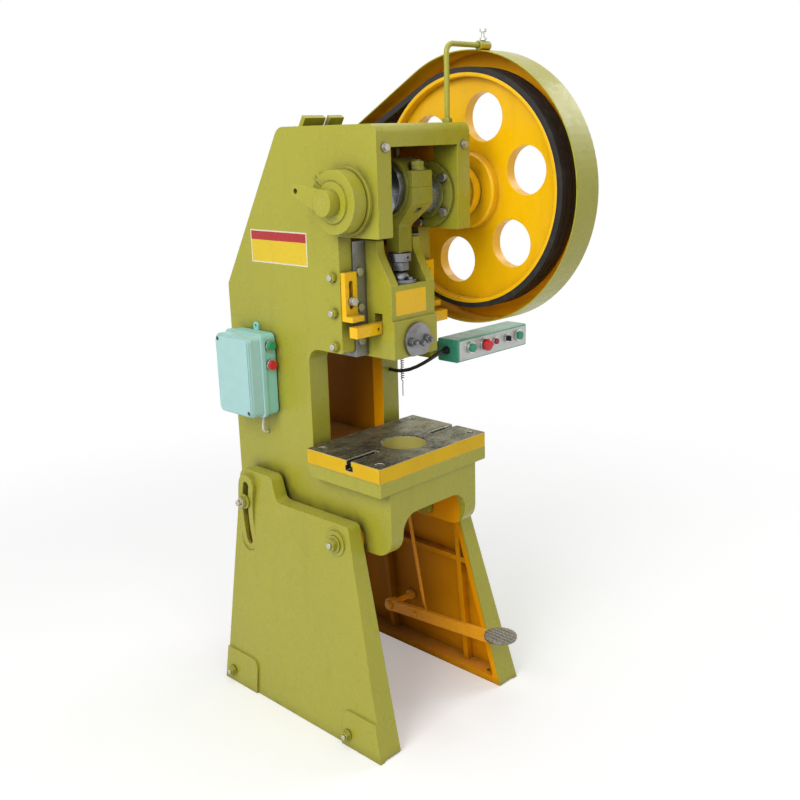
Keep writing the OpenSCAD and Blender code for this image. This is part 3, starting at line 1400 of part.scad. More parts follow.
module pull_rod() {
    hook_reach = pull_rod_d + pedal_pin_d + 6;
    hook_lip = 10;
    lean = atan2(rod_lean.x, rod_lean.y);
    color(orange) difference() {
        union() {
            translate([rod_x, rod_low.x, rod_low.y]) rotate([-lean, 0, 0]) {
                post(-2, rod_eye_along - 8, pull_rod_d);
                translate([-rod_eye_t / 2, -pull_rod_d / 2, -8]) cube([rod_eye_t, pull_rod_d, 40]);
                translate([-rod_eye_t / 2, -pull_rod_d / 2, -8]) cube([rod_eye_t, hook_reach, hook_lip]);
            }
            at_yz(rod_eye) bar_x(rod_x - rod_eye_t / 2, rod_x + rod_eye_t / 2, rod_eye_d);
        }
        at_yz(rod_eye) bar_x(rod_x - 10, rod_x + 10, rod_eye_hole_d);
    }
}
module trip_lever() {
    color(orange) difference() {
        union() {
            at_yz(trip_pivot) bar_x(trip_x[0], trip_x[1], trip_hub_d);
            across(trip_x[0], trip_x[1]) polygon(two_circles(trip_pivot, 17, trip_tip, 9, 40, 16));
            across(trip_x[0], trip_x[1]) polygon(two_circles(trip_pivot, 17, rod_eye, 10, 40, 16));
            at_yz(rod_eye) bar_x(rod_x - 5, trip_x[0] + 1, trip_pin_d);
        }
        at_yz(trip_pivot) bar_x(trip_x[0] - 5, trip_x[1] + 5, trip_stud_d + 2 * run);
    }
}

left_leg();
right_leg();
foot_studs();
foot_nuts();
pivot_bolts();
pedal_stud();
frame_casting();
bolster_plate();
bolster_bolts();
tilt_lock_bolts();
left_gib();
right_gib();
gib_screws();
gib_adjusters();
main_bushes();
knockout_brackets();
frame_bolts();
brake_band();
flywheel_guard();
guard_rods();
motor();
motor_plate();
v_belts();
ebox_base();
ebox_lid();
ebox_screws();
ebox_cable();
button_collars();
control_box();
control_panel();
control_bracket();
control_gland();
control_cable();
crankshaft();
brake_drum();
shaft_arm();
clutch_collar();
shaft_retainer();
flywheel();
motor_pulley();
ram();
shank_clamp();
clamp_hardware();
ball_seat();
con_rod();
con_rod_cap();
cap_hardware();
ball_screw();
knockout_spring();
knockout_bar();
pedal();
pull_rod();
trip_lever();
start_button();
stop_button();
run_button_left();
run_button_right();
emergency_button();
reset_button();
mode_key();
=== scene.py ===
import math

import bpy
from mathutils import Matrix, Vector

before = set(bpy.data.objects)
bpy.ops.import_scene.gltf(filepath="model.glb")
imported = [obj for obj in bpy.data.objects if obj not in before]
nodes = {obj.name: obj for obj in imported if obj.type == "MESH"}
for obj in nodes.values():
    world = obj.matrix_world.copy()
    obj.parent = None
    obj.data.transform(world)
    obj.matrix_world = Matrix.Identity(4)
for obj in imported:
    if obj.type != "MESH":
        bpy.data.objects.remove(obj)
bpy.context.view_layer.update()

scene = bpy.context.scene
scene.view_settings.view_transform = "Standard"

# Camera fitted to the photograph: metres, degrees, and millimetres for the lens
CAMERA_AT = (-1.583, -1.675, 1.375)
CAMERA_YAW = 45.8
CAMERA_PITCH = 15.2
CAMERA_ROLL = -1.56
CAMERA_LENS = 44.2
CAMERA_SENSOR = 36


def make_camera():
    yaw, pitch, roll = (math.radians(a) for a in (CAMERA_YAW, CAMERA_PITCH, CAMERA_ROLL))
    ahead = Vector((math.sin(yaw) * math.cos(pitch), math.cos(yaw) * math.cos(pitch), -math.sin(pitch)))
    side = Vector((math.cos(yaw), -math.sin(yaw), 0))
    up = side.cross(ahead)
    right = math.cos(roll) * side + math.sin(roll) * up
    top = -math.sin(roll) * side + math.cos(roll) * up
    data = bpy.data.cameras.new("photo_camera")
    data.sensor_width = CAMERA_SENSOR
    data.lens = CAMERA_LENS
    cam = bpy.data.objects.new("photo_camera", data)
    scene.collection.objects.link(cam)
    turn = Matrix((right, top, -ahead)).transposed().to_4x4()
    cam.matrix_world = Matrix.Translation(CAMERA_AT) @ turn
    scene.camera = cam


# Colours are given as they look on a screen, 0 to 255
def lin(r, g, b):
    def part(c):
        c = c / 255
        return c / 12.92 if c <= 0.04045 else ((c + 0.055) / 1.055) ** 2.4
    return (part(r), part(g), part(b), 1.0)


def shade(c, k):
    return (min(1, c[0] * k), min(1, c[1] * k), min(1, c[2] * k), 1.0)


OLIVE = lin(171, 167, 50)
# Painted shade: a darker olive for parts that sit in shade inside the crank head
SHADED_OLIVE = lin(150, 148, 46)
ORANGE = lin(242, 166, 2)
# Painted shade: orange darkened for linings deep inside the castings
PAINTED_SHADE_ORANGE = lin(104, 56, 2)
YELLOW = lin(252, 196, 2)
GUARD_LINING = lin(255, 190, 2)
BARE = lin(150, 150, 146)
# Grime colour, also laid as painted shade in corners
GRIME_AND_SHADE = lin(58, 50, 26)
DUST = lin(196, 192, 168)
# Painted shade in narrow gaps between parts
GAP_SHADE = lin(30, 27, 14)
WHITE = (1.0, 1.0, 1.0, 1.0)

# Where most of a noise's values lie
NOISE_SPAN = (0.3, 0.7)

# Rays that the edge and corner masks send out
MASK_RAYS = 6

# A face stands or lies where the upward part of its normal is under or over these
STANDING = 0.3
LYING = 0.6

# Strength and depth, in metres, of the marks left on turned steel
TOOL_MARKS = (0.12, 0.0006)

# Radii of softened edges, and reach of the grime and painted shade in corners and gaps, in metres
PAINT_EDGE = 0.0022
STEEL_EDGE = 0.0008
MOULDED_EDGE = 0.0012
KNOCKED_EDGE = 0.004
CORNER_REACH = 0.04
GAP_SHADE_REACH = 0.006
STEEL_SHADE_REACH = 0.012
MOULDED_SHADE_REACH = 0.015

# The crankshaft's axis, in metres, which the flywheel and its guard go round
SHAFT_Y = -0.146
SHAFT_Z = 1.24

# A border drawn this far inside a face takes in the whole face
FACE_SKIN = 0.0005


class Shader:
    """A material whose nodes read the object's own coordinates, in metres."""

    names = {"color": "Base Color", "rough": "Roughness", "metal": "Metallic", "normal": "Normal",
             "spec": "Specular IOR Level"}

    def __init__(self, name):
        self.mat = bpy.data.materials.new(name)
        self.mat.use_nodes = True
        self.tree = self.mat.node_tree
        self.bsdf = self.tree.nodes["Principled BSDF"]
        coords = self.tree.nodes.new("ShaderNodeTexCoord")
        self.co = coords.outputs["Object"]
        split = self.node("ShaderNodeSeparateXYZ", {0: self.co})
        self.x, self.y, self.z = split.outputs[:3]
        turn = self.node("ShaderNodeSeparateXYZ", {0: coords.outputs["Normal"]})
        self.nx, self.ny, self.nz = turn.outputs[:3]

    def put(self, socket, value):
        if isinstance(value, bpy.types.NodeSocket):
            self.tree.links.new(value, socket)
        else:
            socket.default_value = value

    def node(self, kind, inputs=None, **settings):
        n = self.tree.nodes.new(kind)
        for key, value in settings.items():
            setattr(n, key, value)
        for key, value in (inputs or {}).items():
            self.put(n.inputs[key], value)
        return n

    def math(self, op, a, b=0.0):
        return self.node("ShaderNodeMath", {0: a, 1: b}, operation=op).outputs[0]

    def add(self, a, b):
        return self.math("ADD", a, b)

    def sub(self, a, b):
        return self.math("SUBTRACT", a, b)

    def mul(self, a, b):
        return self.math("MULTIPLY", a, b)

    def over(self, a, b):
        return self.math("GREATER_THAN", a, b)

    def under(self, a, b):
        return self.math("LESS_THAN", a, b)

    def between(self, a, low, high):
        return self.mul(self.over(a, low), self.under(a, high))

    def both(self, *masks):
        out = masks[0]
        for m in masks[1:]:
            out = self.mul(out, m)
        return out

    def either(self, *masks):
        out = masks[0]
        for m in masks[1:]:
            out = self.math("MAXIMUM", out, m)
        return out

    def inverse(self, mask):
        return self.sub(1.0, mask)

    def size(self, a):
        return self.math("ABSOLUTE", a)

    def ramp(self, value, low, high, to_low=0.0, to_high=1.0):
        n = self.node("ShaderNodeMapRange", {0: value, 1: low, 2: high, 3: to_low, 4: to_high})
        n.interpolation_type = "SMOOTHSTEP"
        return n.outputs[0]

    def mix(self, fac, a, b):
        n = self.node("ShaderNodeMix", data_type="RGBA")
        self.put(n.inputs[0], fac)
        self.put(n.inputs[6], a)
        self.put(n.inputs[7], b)
        return n.outputs[2]

    def layers(self, base, *coats):
        """Colours laid over a base in turn, each where its mask is on."""
        for mask, colour in coats:
            base = self.mix(mask, base, colour)
        return base

    def tinted(self, colour, k):
        """A lighter or darker version of a colour or of a colour socket."""
        if isinstance(colour, bpy.types.NodeSocket):
            return self.node("ShaderNodeHueSaturation", {"Value": k, "Color": colour}).outputs[0]
        return shade(colour, k)

    def noise(self, scale, detail=3.0, rough=0.55, stretch=None, warp=0.0):
        at = self.co
        if stretch:
            at = self.node("ShaderNodeMapping", {0: self.co, 3: stretch}).outputs[0]
        n = self.node("ShaderNodeTexNoise", {"Vector": at, "Scale": scale, "Detail": detail,
                                             "Roughness": rough, "Distortion": warp})
        return n.outputs[0]

    def edge(self, radius, faint=0.01, full=0.2):
        """A mask of the edges, and the normal that rounds them."""
        round_edge = self.node("ShaderNodeBevel", {0: radius}, samples=MASK_RAYS).outputs[0]
        flat = self.node("ShaderNodeNewGeometry").outputs["Normal"]
        dot = self.node("ShaderNodeVectorMath", {0: round_edge, 1: flat}, operation="DOT_PRODUCT")
        return self.ramp(self.inverse(dot.outputs["Value"]), faint, full), round_edge

    def hollow(self, reach, open_at=0.9, shut_at=0.35):
        """A mask of the corners and gaps that are closed in within a reach."""
        n = self.node("ShaderNodeAmbientOcclusion", {"Distance": reach}, samples=MASK_RAYS)
        return self.ramp(n.outputs["AO"], open_at, shut_at)

    def bump(self, height, strength, distance, normal=None):
        n = self.node("ShaderNodeBump", {"Strength": strength, "Distance": distance, "Height": height})
        if normal:
            self.put(n.inputs["Normal"], normal)
        return n.outputs[0]

    def set(self, **values):
        for key, value in values.items():
            self.put(self.bsdf.inputs[self.names[key]], value)
        return self.mat


# Enamel on castings and plate. The layers from below are a drifting tone, runs, flecks, grime with
# painted shade in corners, painted shade in seams, lying dust, painted highlight on rubbed edges, chips
def paint(s, colour, cast=1.0, chips=0.5, grime=0.6, gloss=0.29, dull=0.0, dust=0.1):
    upright = (9.0, 9.0, 1.0)
    gap_shade_strength, rub_highlight_share = 0.8, 0.65
    dirt_rough, dull_rough = 0.25, 0.25
    clean_spec, dull_spec_loss = 0.45, 0.38
    grain_share, peel_share, chip_share = 0.06, 0.07, 0.3
    wave_strength, wave_depth = 0.32 * cast, 0.004
    broad = s.noise(4.0)
    fine = s.noise(38.0, 4.0)
    runs = s.noise(3.0, 4.0, 0.6, upright)
    edge, round_edge = s.edge(PAINT_EDGE)
    # Grime and painted shade: corners closed in within a reach are darkened
    corner_grime_and_shade = s.mul(s.hollow(CORNER_REACH, 0.9, 0.45), s.ramp(s.noise(22.0, 5.0), 0.3, 0.65, 0.5, 1.0))
    # Painted shade: narrow gaps between parts are darkened almost to black
    gap_shade = s.hollow(GAP_SHADE_REACH, 0.7, 0.3)
    lying = s.mul(s.ramp(s.nz, LYING, 0.95), s.ramp(s.noise(17.0, 4.0), 0.3, 0.65, 0.4, 1.0))
    # Rubbed paint with a painted highlight: edges are lightened
    rub_and_highlight = s.mul(edge, s.ramp(fine, 0.3, 0.55))
    chip = s.both(edge, s.ramp(s.noise(95.0, 4.0), 0.6, 0.66), chips)
    tone = s.layers(
        colour,
        (s.ramp(broad, *NOISE_SPAN, 0.0, 0.5), s.mix(0.5, colour, s.tinted(colour, 0.84))),
        (s.ramp(runs, 0.52, 0.8, 0.0, 0.28), s.tinted(colour, 0.7)),
        (s.ramp(fine, 0.55, 0.8, 0.0, 0.14), s.tinted(colour, 1.12)),
        (s.mul(corner_grime_and_shade, grime), GRIME_AND_SHADE),
        (s.mul(gap_shade, gap_shade_strength), GAP_SHADE),
        (s.mul(lying, dust), DUST),
        (s.mul(rub_and_highlight, rub_highlight_share), s.tinted(colour, 1.55)),
        (chip, BARE),
    )
    waves, grain, peel = s.noise(14.0), s.noise(110.0, 2.0), s.noise(420.0, 2.0)
    height = s.add(s.add(waves, s.mul(grain, grain_share)), s.mul(peel, peel_share))
    height = s.sub(height, s.mul(chip, chip_share))
    rough = s.add(s.ramp(fine, *NOISE_SPAN, gloss - 0.05, gloss + 0.09), s.mul(corner_grime_and_shade, dirt_rough))
    rough = s.add(rough, s.mul(dull, dull_rough))
    return s.set(color=tone, rough=rough, metal=s.mul(chip, 0.8),
                 spec=s.sub(clean_spec, s.mul(dull, dull_spec_loss)),
                 normal=s.bump(height, wave_strength, wave_depth, round_edge))


def plain_paint(name, colour, **how):
    return paint(Shader(name), colour, **how)


# Legs: olive outside, orange in the ribbed hollow, with painted shade darkening it towards the back
def leg_paint():
    foot_x, lean = 0.246, 0.0939
    foot_y, front_rake, rear_rake = 0.285, 0.2625, 0.083
    panel_skin = 0.010
    hollow_top = 0.505
    shade_starts_at, shade_full_at, deepest_shade = -0.17, 0.12, 0.75
    s = Shader("leg_enamel")
    outer = s.sub(foot_x, s.mul(s.z, lean))
    deep = s.over(s.sub(outer, s.size(s.x)), panel_skin)
    front = s.under(s.y, s.sub(s.mul(s.z, front_rake), foot_y))
    rear = s.over(s.y, s.sub(foot_y, s.mul(s.z, rear_rake)))
    inside = s.both(deep, s.under(s.z, hollow_top), s.inverse(front), s.inverse(rear))
    # Painted shade: the orange lining darkens towards the back
    lining_with_shade = s.mix(s.ramp(s.y, shade_starts_at, shade_full_at, 0.0, deepest_shade), ORANGE, PAINTED_SHADE_ORANGE)
    return paint(s, s.mix(inside, OLIVE, lining_with_shade), chips=0.35, grime=0.5, dull=inside)


# Frame casting: olive outside, orange between the plates, under the bed and in the crank head
def frame_paint():
    plate_x, plate_y, plate_z = 0.0908, (-0.104, 0.2985), (0.6395, 1.345)
    back_y, back_z = 0.079, 1.395
    normal_y, normal_z = 0.8559, 0.5173
    back_skin = 0.010
    head_x, head_y, head_z = 0.1048, (-0.16, 0.021), (1.117, 1.3485)
    bed_x, bed_y, bed_z = 0.1086, (-0.2205, 0.28), 0.6075
    shade_starts_at, shade_full_at, deepest_shade = 0.042, 0.046, 0.7
    s = Shader("frame_enamel")
    wide = s.size(s.x)
    behind = s.add(s.mul(s.sub(s.y, back_y), normal_y), s.mul(s.sub(s.z, back_z), normal_z))
    plates = s.both(s.under(wide, plate_x), s.between(s.y, *plate_y), s.between(s.z, *plate_z),
                    s.under(behind, -back_skin))
    head = s.both(s.under(wide, head_x), s.between(s.y, *head_y), s.between(s.z, *head_z))
    below = s.both(s.under(wide, bed_x), s.between(s.y, *bed_y), s.under(s.z, bed_z))
    inside = s.either(plates, head, below)
    # Painted shade: the lining between the plates and under the bed darkens behind a bright strip at the
    # front
    shade_depth = s.mul(s.ramp(s.y, shade_starts_at, shade_full_at, 0.0, deepest_shade), s.inverse(head))
    tone = s.mix(inside, OLIVE, s.mix(shade_depth, ORANGE, PAINTED_SHADE_ORANGE))
    return paint(s, plate_label(s, tone), chips=0.35, grime=0.75, dull=inside)


# Plain label on the left plate: pale rim, yellow field, red band on top
def plate_label(s, tone):
    plate_face = -0.1455
    front, back, bottom, top = -0.002, 0.198, 1.091, 1.167
    rim = 0.003
    band_from = 1.144
    label = s.both(s.under(s.x, plate_face), s.between(s.y, front, back), s.between(s.z, bottom, top))
    field = s.both(label, s.between(s.y, front + rim, back - rim), s.between(s.z, bottom + rim, top - rim))
    print_tone = s.mix(s.over(s.z, band_from), lin(228, 196, 30), lin(178, 36, 40))
    return s.layers(tone, (label, lin(226, 222, 200)), (field, print_tone))


# Guard sheet: olive outside, orange on the faces that look at the flywheel
def guard_paint():
    far_rim_x = 0.29
    facing_shaft, facing_press = 0.02, -0.5
    s = Shader("guard_enamel")
    inward = s.add(s.mul(s.ny, s.sub(SHAFT_Y, s.y)), s.mul(s.nz, s.sub(SHAFT_Z, s.z)))
    far_rim = s.both(s.under(s.nx, facing_press), s.over(s.x, far_rim_x))
    inside = s.either(s.over(inward, facing_shaft), far_rim)
    return paint(s, s.mix(inside, OLIVE, GUARD_LINING), cast=0.6, chips=0.25, grime=0.3,
                 dull=s.mul(inside, 0.6))


# Flywheel: yellow web and hub, bare turned belt track
def flywheel_paint():
    track_radius, face_turn = 0.2595, 0.7
    s = Shader("flywheel_enamel")
    up = s.sub(s.z, SHAFT_Z)
    out = s.sub(s.y, SHAFT_Y)
    radius = s.math("SQRT", s.add(s.mul(up, up), s.mul(out, out)))
    bare = s.both(s.over(radius, track_radius), s.under(s.size(s.nx), face_turn))
    paint(s, s.mix(bare, YELLOW, lin(168, 160, 138)), chips=0.3, grime=0.35, gloss=0.3)
    return s.set(metal=s.mul(bare, 0.8))


# Lines left by the tool along a direction, and clouds of handling
def turned(s, along):
    return s.noise(30.0, 2.0, 0.5, along), s.noise(26.0, 5.0, 0.62)


# Turned or plated steel: fine tool marks, stains, dull handling, painted shade, painted highlights
def steel(name, colour, rough=0.3, stain=0.35, grain=(1.0, 60.0, 60.0)):
    s = Shader(name)
    lines, cloud = turned(s, grain)
    edge, round_edge = s.edge(STEEL_EDGE)
    tone = s.layers(
        colour,
        (s.ramp(lines, 0.35, 0.65, 0.0, 0.35), shade(colour, 0.72)),
        (s.ramp(cloud, 0.5, 0.75, 0.0, stain), lin(84, 70, 50)),
        # Painted shade in corners and a painted highlight along the edges
        (s.mul(s.hollow(STEEL_SHADE_REACH), 0.7), lin(30, 26, 20)),
        (s.mul(edge, 0.5), shade(colour, 1.3)),
    )
    finish = s.add(s.ramp(cloud, *NOISE_SPAN, rough - 0.06, rough + 0.16), s.mul(lines, 0.1))
    return s.set(color=tone, rough=finish, metal=0.9, normal=s.bump(lines, *TOOL_MARKS, round_edge))


# Crankshaft: turned steel, webs darkened as painted shade, painted edge highlight, left end painted over
def crank_finish():
    web_from, web_to = 0.0352, 0.0518
    painted_to = -0.15
    around = (60.0, 1.0, 1.0)
    s = Shader("crank_steel")
    shaded_web = s.between(s.size(s.x), web_from, web_to)
    end = s.under(s.x, painted_to)
    lines, cloud = turned(s, around)
    edge, round_edge = s.edge(STEEL_EDGE)
    # Painted shade: the webs beside the con rod are darkened; painted highlight along the edges
    tone = s.layers(
        lin(184, 188, 194),
        (s.ramp(lines, 0.35, 0.65, 0.0, 0.35), lin(132, 134, 140)),
        (s.ramp(cloud, 0.55, 0.78, 0.0, 0.2), lin(70, 60, 46)),
        (shaded_web, lin(124, 126, 130)),
        (s.mul(edge, 0.4), lin(222, 222, 220)),
        (end, OLIVE),
    )
    return s.set(color=tone, rough=s.ramp(cloud, *NOISE_SPAN, 0.16, 0.38), metal=s.mul(s.inverse(end), 0.9),
                 normal=s.bump(lines, *TOOL_MARKS, round_edge))


# Bolster: worn dark top with scratches, yellow painted edges with bright knocked corners
def bolster_paint():
    half_x, front_y, back_y = 0.18, -0.244, -0.004
    bore_at, bore_reach = (0.0, SHAFT_Y, 0.66), 0.062
    along_x, along_y = (1.0, 12.0, 1.0), (14.0, 1.0, 1.0)
    brushed = (1.0, 16.0, 1.0)
    s = Shader("bolster_wear")
    edge, round_edge = s.edge(KNOCKED_EDGE)
    upright = s.under(s.size(s.nz), STANDING)
    outside = s.either(s.over(s.size(s.x), half_x - FACE_SKIN), s.under(s.y, front_y + FACE_SKIN),
                       s.over(s.y, back_y - FACE_SKIN))
    side = s.both(upright, outside)
    away = s.node("ShaderNodeVectorMath", {0: s.co, 1: bore_at}, operation="DISTANCE").outputs["Value"]
    bore = s.both(upright, s.under(away, bore_reach))
    worn = s.noise(9.0, 6.0, 0.65)
    patch = s.noise(30.0, 6.0, 0.7)
    scratch = s.noise(70.0, 2.0, 0.5, along_x, 1.2)
    lines = s.noise(24.0, 3.0, 0.6, brushed, 0.6)
    cross = s.noise(20.0, 3.0, 0.6, along_y, 0.8)
    metal = s.layers(
        lin(62, 62, 48),
        (s.ramp(s.add(worn, s.mul(s.x, 0.5)), 0.36, 0.66), lin(134, 129, 98)),
        (s.ramp(patch, 0.52, 0.7, 0.0, 0.7), lin(54, 51, 40)),
        (s.ramp(lines, 0.62, 0.68, 0.0, 0.6), lin(196, 190, 166)),
        (s.ramp(cross, 0.64, 0.69, 0.0, 0.5), lin(180, 174, 150)),
        (s.ramp(scratch, 0.61, 0.66, 0.0, 0.7), lin(214, 208, 188)),
        (s.mul(edge, 0.8), lin(224, 218, 202)),
        (bore, lin(178, 170, 92)),
    )
    chip = s.either(s.mul(edge, s.ramp(patch, 0.4, 0.55)), s.ramp(s.noise(60.0, 4.0), 0.7, 0.74))
    enamel = s.layers(
        lin(228, 184, 6),
        (s.ramp(worn, 0.4, 0.7, 0.0, 0.4), lin(200, 154, 10)),
        (s.mul(chip, 0.85), lin(206, 198, 172)),
    )
    rough = s.add(s.ramp(patch, *NOISE_SPAN, 0.32, 0.6), s.mul(s.over(s.nz, LYING), 0.04))
    return s.set(color=s.mix(side, metal, enamel), rough=rough, spec=0.25,
                 metal=s.mul(s.inverse(s.either(side, bore)), 0.7),
                 normal=s.bump(s.add(s.mul(patch, 0.5), lines), 0.25, 0.001, round_edge))


# Moulded plastic with a faint grain, painted shade in its corners and a painted highlight on its edges
def plastic(name, colour, rough):
    s = Shader(name)
    cloud = s.noise(30.0, 4.0)
    edge, round_edge = s.edge(MOULDED_EDGE)
    # Painted shade in corners and a painted highlight along the edges
    tone = s.layers(
        colour,
        (s.ramp(cloud, 0.35, 0.7, 0.0, 0.3), shade(colour, 0.86)),
        (s.mul(s.hollow(MOULDED_SHADE_REACH), 0.35), shade(colour, 0.35)),
        (s.mul(edge, 0.2), shade(colour, 1.5)),
    )
    finish = s.ramp(cloud, *NOISE_SPAN, rough - 0.04, rough + 0.1)
    return s.set(color=tone, rough=finish, normal=s.bump(s.noise(900.0, 1.0), 0.05, 0.0004, round_edge))


# Belts: black rubber with a woven cover, greyed by dust
def belt_rubber():
    s = Shader("belt_rubber")
    cloud = s.noise(40.0, 5.0, 0.65)
    weave = s.noise(500.0, 2.0)
    tone = s.mix(s.ramp(cloud, 0.45, 0.75, 0.0, 0.6), lin(26, 26, 27), lin(66, 62, 56))
    return s.set(color=tone, rough=s.ramp(cloud, *NOISE_SPAN, 0.55, 0.8),
                 normal=s.bump(weave, 0.25, 0.0006))


# Control panel's front: brushed sheet with a few dull patches
def panel_sheet():
    level = (1.0, 1.0, 90.0)
    s = Shader("satin_sheet")
    lines = s.noise(60.0, 2.0, 0.5, level)
    cloud = s.noise(20.0, 4.0)
    tone = s.layers(
        lin(206, 208, 204),
        (s.ramp(lines, *NOISE_SPAN, 0.0, 0.5), lin(172, 176, 174)),
        (s.ramp(cloud, 0.55, 0.75, 0.0, 0.25), lin(150, 148, 136)),
    )
    return s.set(color=tone, rough=s.ramp(cloud, *NOISE_SPAN, 0.3, 0.48), metal=0.55,
                 normal=s.bump(lines, 0.1, 0.0004))


# Pedal: orange lever, worn steel pad on its nose
def pedal_paint():
    pad_bottom, pad_back = 0.1775, -0.285
    s = Shader("pedal_enamel")
    pad = s.both(s.over(s.z, pad_bottom), s.under(s.y, pad_back))
    paint(s, s.mix(pad, ORANGE, lin(132, 126, 112)), chips=0.6, grime=0.5)
    return s.set(metal=s.mul(pad, 0.7))


# Bolts and nuts that were painted over, with bare thread ends beyond a distance from the middle
def overpainted(name, bare_from):
    s = Shader(name)
    tip = s.over(s.size(s.x), bare_from)
    paint(s, s.mix(tip, OLIVE, lin(196, 192, 178)), cast=0.4, chips=0.6)
    return s.set(metal=s.mul(tip, 0.8))


# Ram: olive casting with a plain yellow field on its front face and bare guide ridges
def ram_paint():
    front_face = -0.1845
    field_x, field_z = (-0.056, 0.041), (0.986, 1.040)
    ridge_x = 0.0715
    s = Shader("ram_enamel")
    field = s.both(s.under(s.y, front_face), s.between(s.x, *field_x), s.between(s.z, *field_z))
    ridge = s.over(s.size(s.x), ridge_x)
    return paint(s, s.layers(OLIVE, (field, lin(246, 198, 18)), (ridge, lin(140, 136, 118))))


def dress(mat, *names):
    for name in names:
        mesh = nodes[name].data
        mesh.materials.clear()
        mesh.materials.append(mat)


def dress_castings():
    dress(leg_paint(), "left_leg", "right_leg")
    dress(frame_paint(), "frame_casting")
    dress(bolster_paint(), "bolster_plate")
    dress(ram_paint(), "ram")
    dress(plain_paint("olive_enamel", OLIVE), "brake_band", "brake_drum", "shaft_arm")
    # Painted shade: parts inside the crank head get a darker olive and more painted shade in corners
    dress(plain_paint("shaded_olive_enamel", SHADED_OLIVE, grime=0.9, gloss=0.2),
          "main_bushes", "con_rod", "con_rod_cap", "cap_hardware")


def dress_drive():
    dress(guard_paint(), "flywheel_guard")
    dress(flywheel_paint(), "flywheel")
    dress(crank_finish(), "crankshaft")
    dress(belt_rubber(), "v_belts")
    dress(plain_paint("olive_sheet_enamel", OLIVE, cast=0.5, chips=0.3),
          "guard_rods", "motor", "motor_plate", "control_bracket")


def dress_levers():
    dress(pedal_paint(), "pedal")
    dress(plain_paint("yellow_enamel", YELLOW, cast=0.5, chips=0.7),
          "knockout_brackets", "knockout_bar", "clutch_collar")
    dress(plain_paint("orange_enamel", ORANGE, cast=0.5, chips=0.4), "pull_rod", "trip_lever", "pedal_stud")


def dress_hardware():
    dress(overpainted("pivot_bolt_paint", bare_from=0.2225), "pivot_bolts", "tilt_lock_bolts")
    dress(overpainted("foot_bolt_paint", bare_from=0.2625), "foot_studs", "foot_nuts")
    dress(overpainted("jack_bolt_paint", bare_from=0.158), "gib_adjusters")
    dress(steel("plated_steel", lin(196, 194, 186), rough=0.26, stain=0.2),
          "gib_screws", "frame_bolts", "shaft_retainer")
    dress(steel("tool_steel", lin(132, 134, 138), rough=0.24, stain=0.3),
          "clamp_hardware", "ball_seat", "ball_screw")
    dress(steel("worn_steel", lin(150, 150, 150), rough=0.36, stain=0.35),
          "shank_clamp", "bolster_bolts", "left_gib", "right_gib")
    dress(steel("dark_steel", lin(86, 88, 90), rough=0.4, stain=0.3, grain=(60.0, 60.0, 1.0)),
          "motor_pulley", "ebox_screws")
    dress(steel("spring_steel", lin(40, 40, 42), rough=0.4, stain=0.2), "knockout_spring")
    dress(steel("plated_collar", lin(222, 222, 222), rough=0.14, stain=0.08), "button_collars")


def dress_controls():
    dress(plain_paint("green_enamel", lin(76, 176, 146), cast=0.4, chips=0.3, dust=0.5), "control_box")
    dress(panel_sheet(), "control_panel")
    dress(plastic("mint_plastic", lin(150, 212, 202), rough=0.42), "ebox_base")
    dress(plastic("mint_lid_plastic", lin(172, 214, 210), rough=0.36), "ebox_lid")
    dress(plastic("black_cable", lin(22, 22, 24), rough=0.4), "control_cable")
    dress(plastic("white_cable", lin(226, 226, 218), rough=0.4), "ebox_cable")
    dress(plastic("black_plastic", lin(30, 30, 32), rough=0.4), "control_gland", "mode_key")
    dress(plastic("green_cap", lin(30, 158, 112), rough=0.25),
          "start_button", "run_button_left", "run_button_right")
    dress(plastic("red_cap", lin(214, 34, 48), rough=0.25), "stop_button", "emergency_button")
    dress(plastic("dark_red_cap", lin(150, 16, 30), rough=0.25), "reset_button")


# Rays that show the surroundings directly or in a reflection
def shown_ray(tree):
    ray = tree.nodes.new("ShaderNodeLightPath").outputs
    seen = ray["Is Camera Ray"]
    for name in ("Is Glossy Ray", "Is Transmission Ray"):
        either = tree.nodes.new("ShaderNodeMath")
        either.operation = "MAXIMUM"
        tree.links.new(seen, either.inputs[0])
        tree.links.new(ray[name], either.inputs[1])
        seen = either.outputs[0]
    return seen


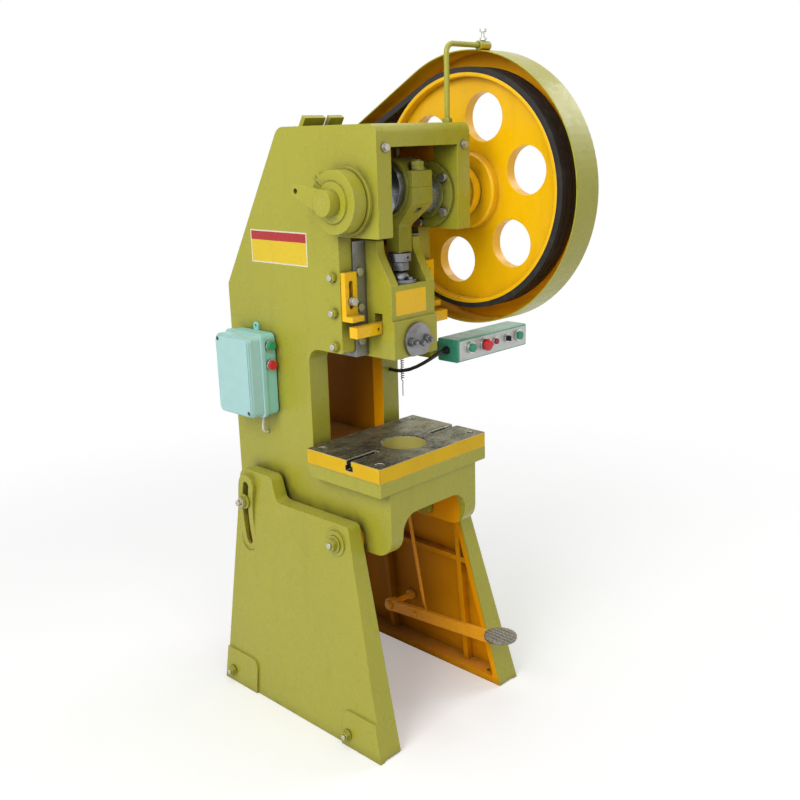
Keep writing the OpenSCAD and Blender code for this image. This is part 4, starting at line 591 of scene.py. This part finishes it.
# Pale floor that takes the shadow and fades to white away from the press
def make_floor():
    floor_size = 16
    own_glow = 0.24
    fade_from, fade_to = 0.6, 2.6
    bpy.ops.mesh.primitive_plane_add(size=floor_size, location=(0, 0, 0))
    floor = bpy.context.object
    floor.name = "studio_floor"
    s = Shader("pale_floor")
    tone = s.mix(s.ramp(s.noise(1.2, 4.0), *NOISE_SPAN, 0.0, 0.4), lin(240, 240, 240), lin(234, 234, 234))
    s.set(color=tone, rough=0.7, spec=0.2)
    reach = s.node("ShaderNodeVectorMath", {0: s.co}, operation="LENGTH").outputs["Value"]
    shown = shown_ray(s.tree)
    s.put(s.bsdf.inputs["Emission Color"], WHITE)
    s.put(s.bsdf.inputs["Emission Strength"], s.mul(shown, own_glow))
    fade = s.mul(s.ramp(reach, fade_from, fade_to), shown)
    glow = s.node("ShaderNodeEmission", {0: WHITE, 1: 1.0})
    blend = s.node("ShaderNodeMixShader", {0: fade, 1: s.bsdf.outputs[0], 2: glow.outputs[0]})
    s.tree.links.new(blend.outputs[0], s.tree.nodes["Material Output"].inputs[0])
    floor.data.materials.append(s.mat)


# Surroundings that give a soft light and are seen as white
def make_world():
    soft_light = 0.3
    world = bpy.data.worlds.new("studio")
    world.use_nodes = True
    tree = world.node_tree
    light = tree.nodes["Background"]
    light.inputs[0].default_value = WHITE
    light.inputs[1].default_value = soft_light
    white = tree.nodes.new("ShaderNodeBackground")
    white.inputs[0].default_value = WHITE
    mixed = tree.nodes.new("ShaderNodeMixShader")
    tree.links.new(shown_ray(tree), mixed.inputs[0])
    tree.links.new(light.outputs[0], mixed.inputs[1])
    tree.links.new(white.outputs[0], mixed.inputs[2])
    tree.links.new(mixed.outputs[0], tree.nodes["World Output"].inputs[0])
    scene.world = world


def add_lamp(name, place, aim, side, power):
    data = bpy.data.lights.new(name, "AREA")
    data.shape = "SQUARE"
    data.size = side
    data.energy = power
    lamp = bpy.data.objects.new(name, data)
    scene.collection.objects.link(lamp)
    lamp.location = place
    lamp.rotation_mode = "QUATERNION"
    lamp.rotation_quaternion = (Vector(aim) - Vector(place)).to_track_quat("-Z", "Y")


make_camera()
dress_castings()
dress_drive()
dress_levers()
dress_hardware()
dress_controls()
make_floor()
make_world()
add_lamp("key", place=(-3.0, -0.7, 2.7), aim=(0, 0, 0.8), side=2.0, power=78)
add_lamp("fill", place=(-1.2, -2.2, 2.5), aim=(0.05, 0, 1.2), side=1.6, power=11.6)
add_lamp("rim", place=(2.9, -0.7, 2.4), aim=(0.3, -0.1, 1.2), side=1.6, power=30)
add_lamp("top", place=(0.2, 0.2, 3.6), aim=(0, 0, 0.8), side=2.4, power=27)
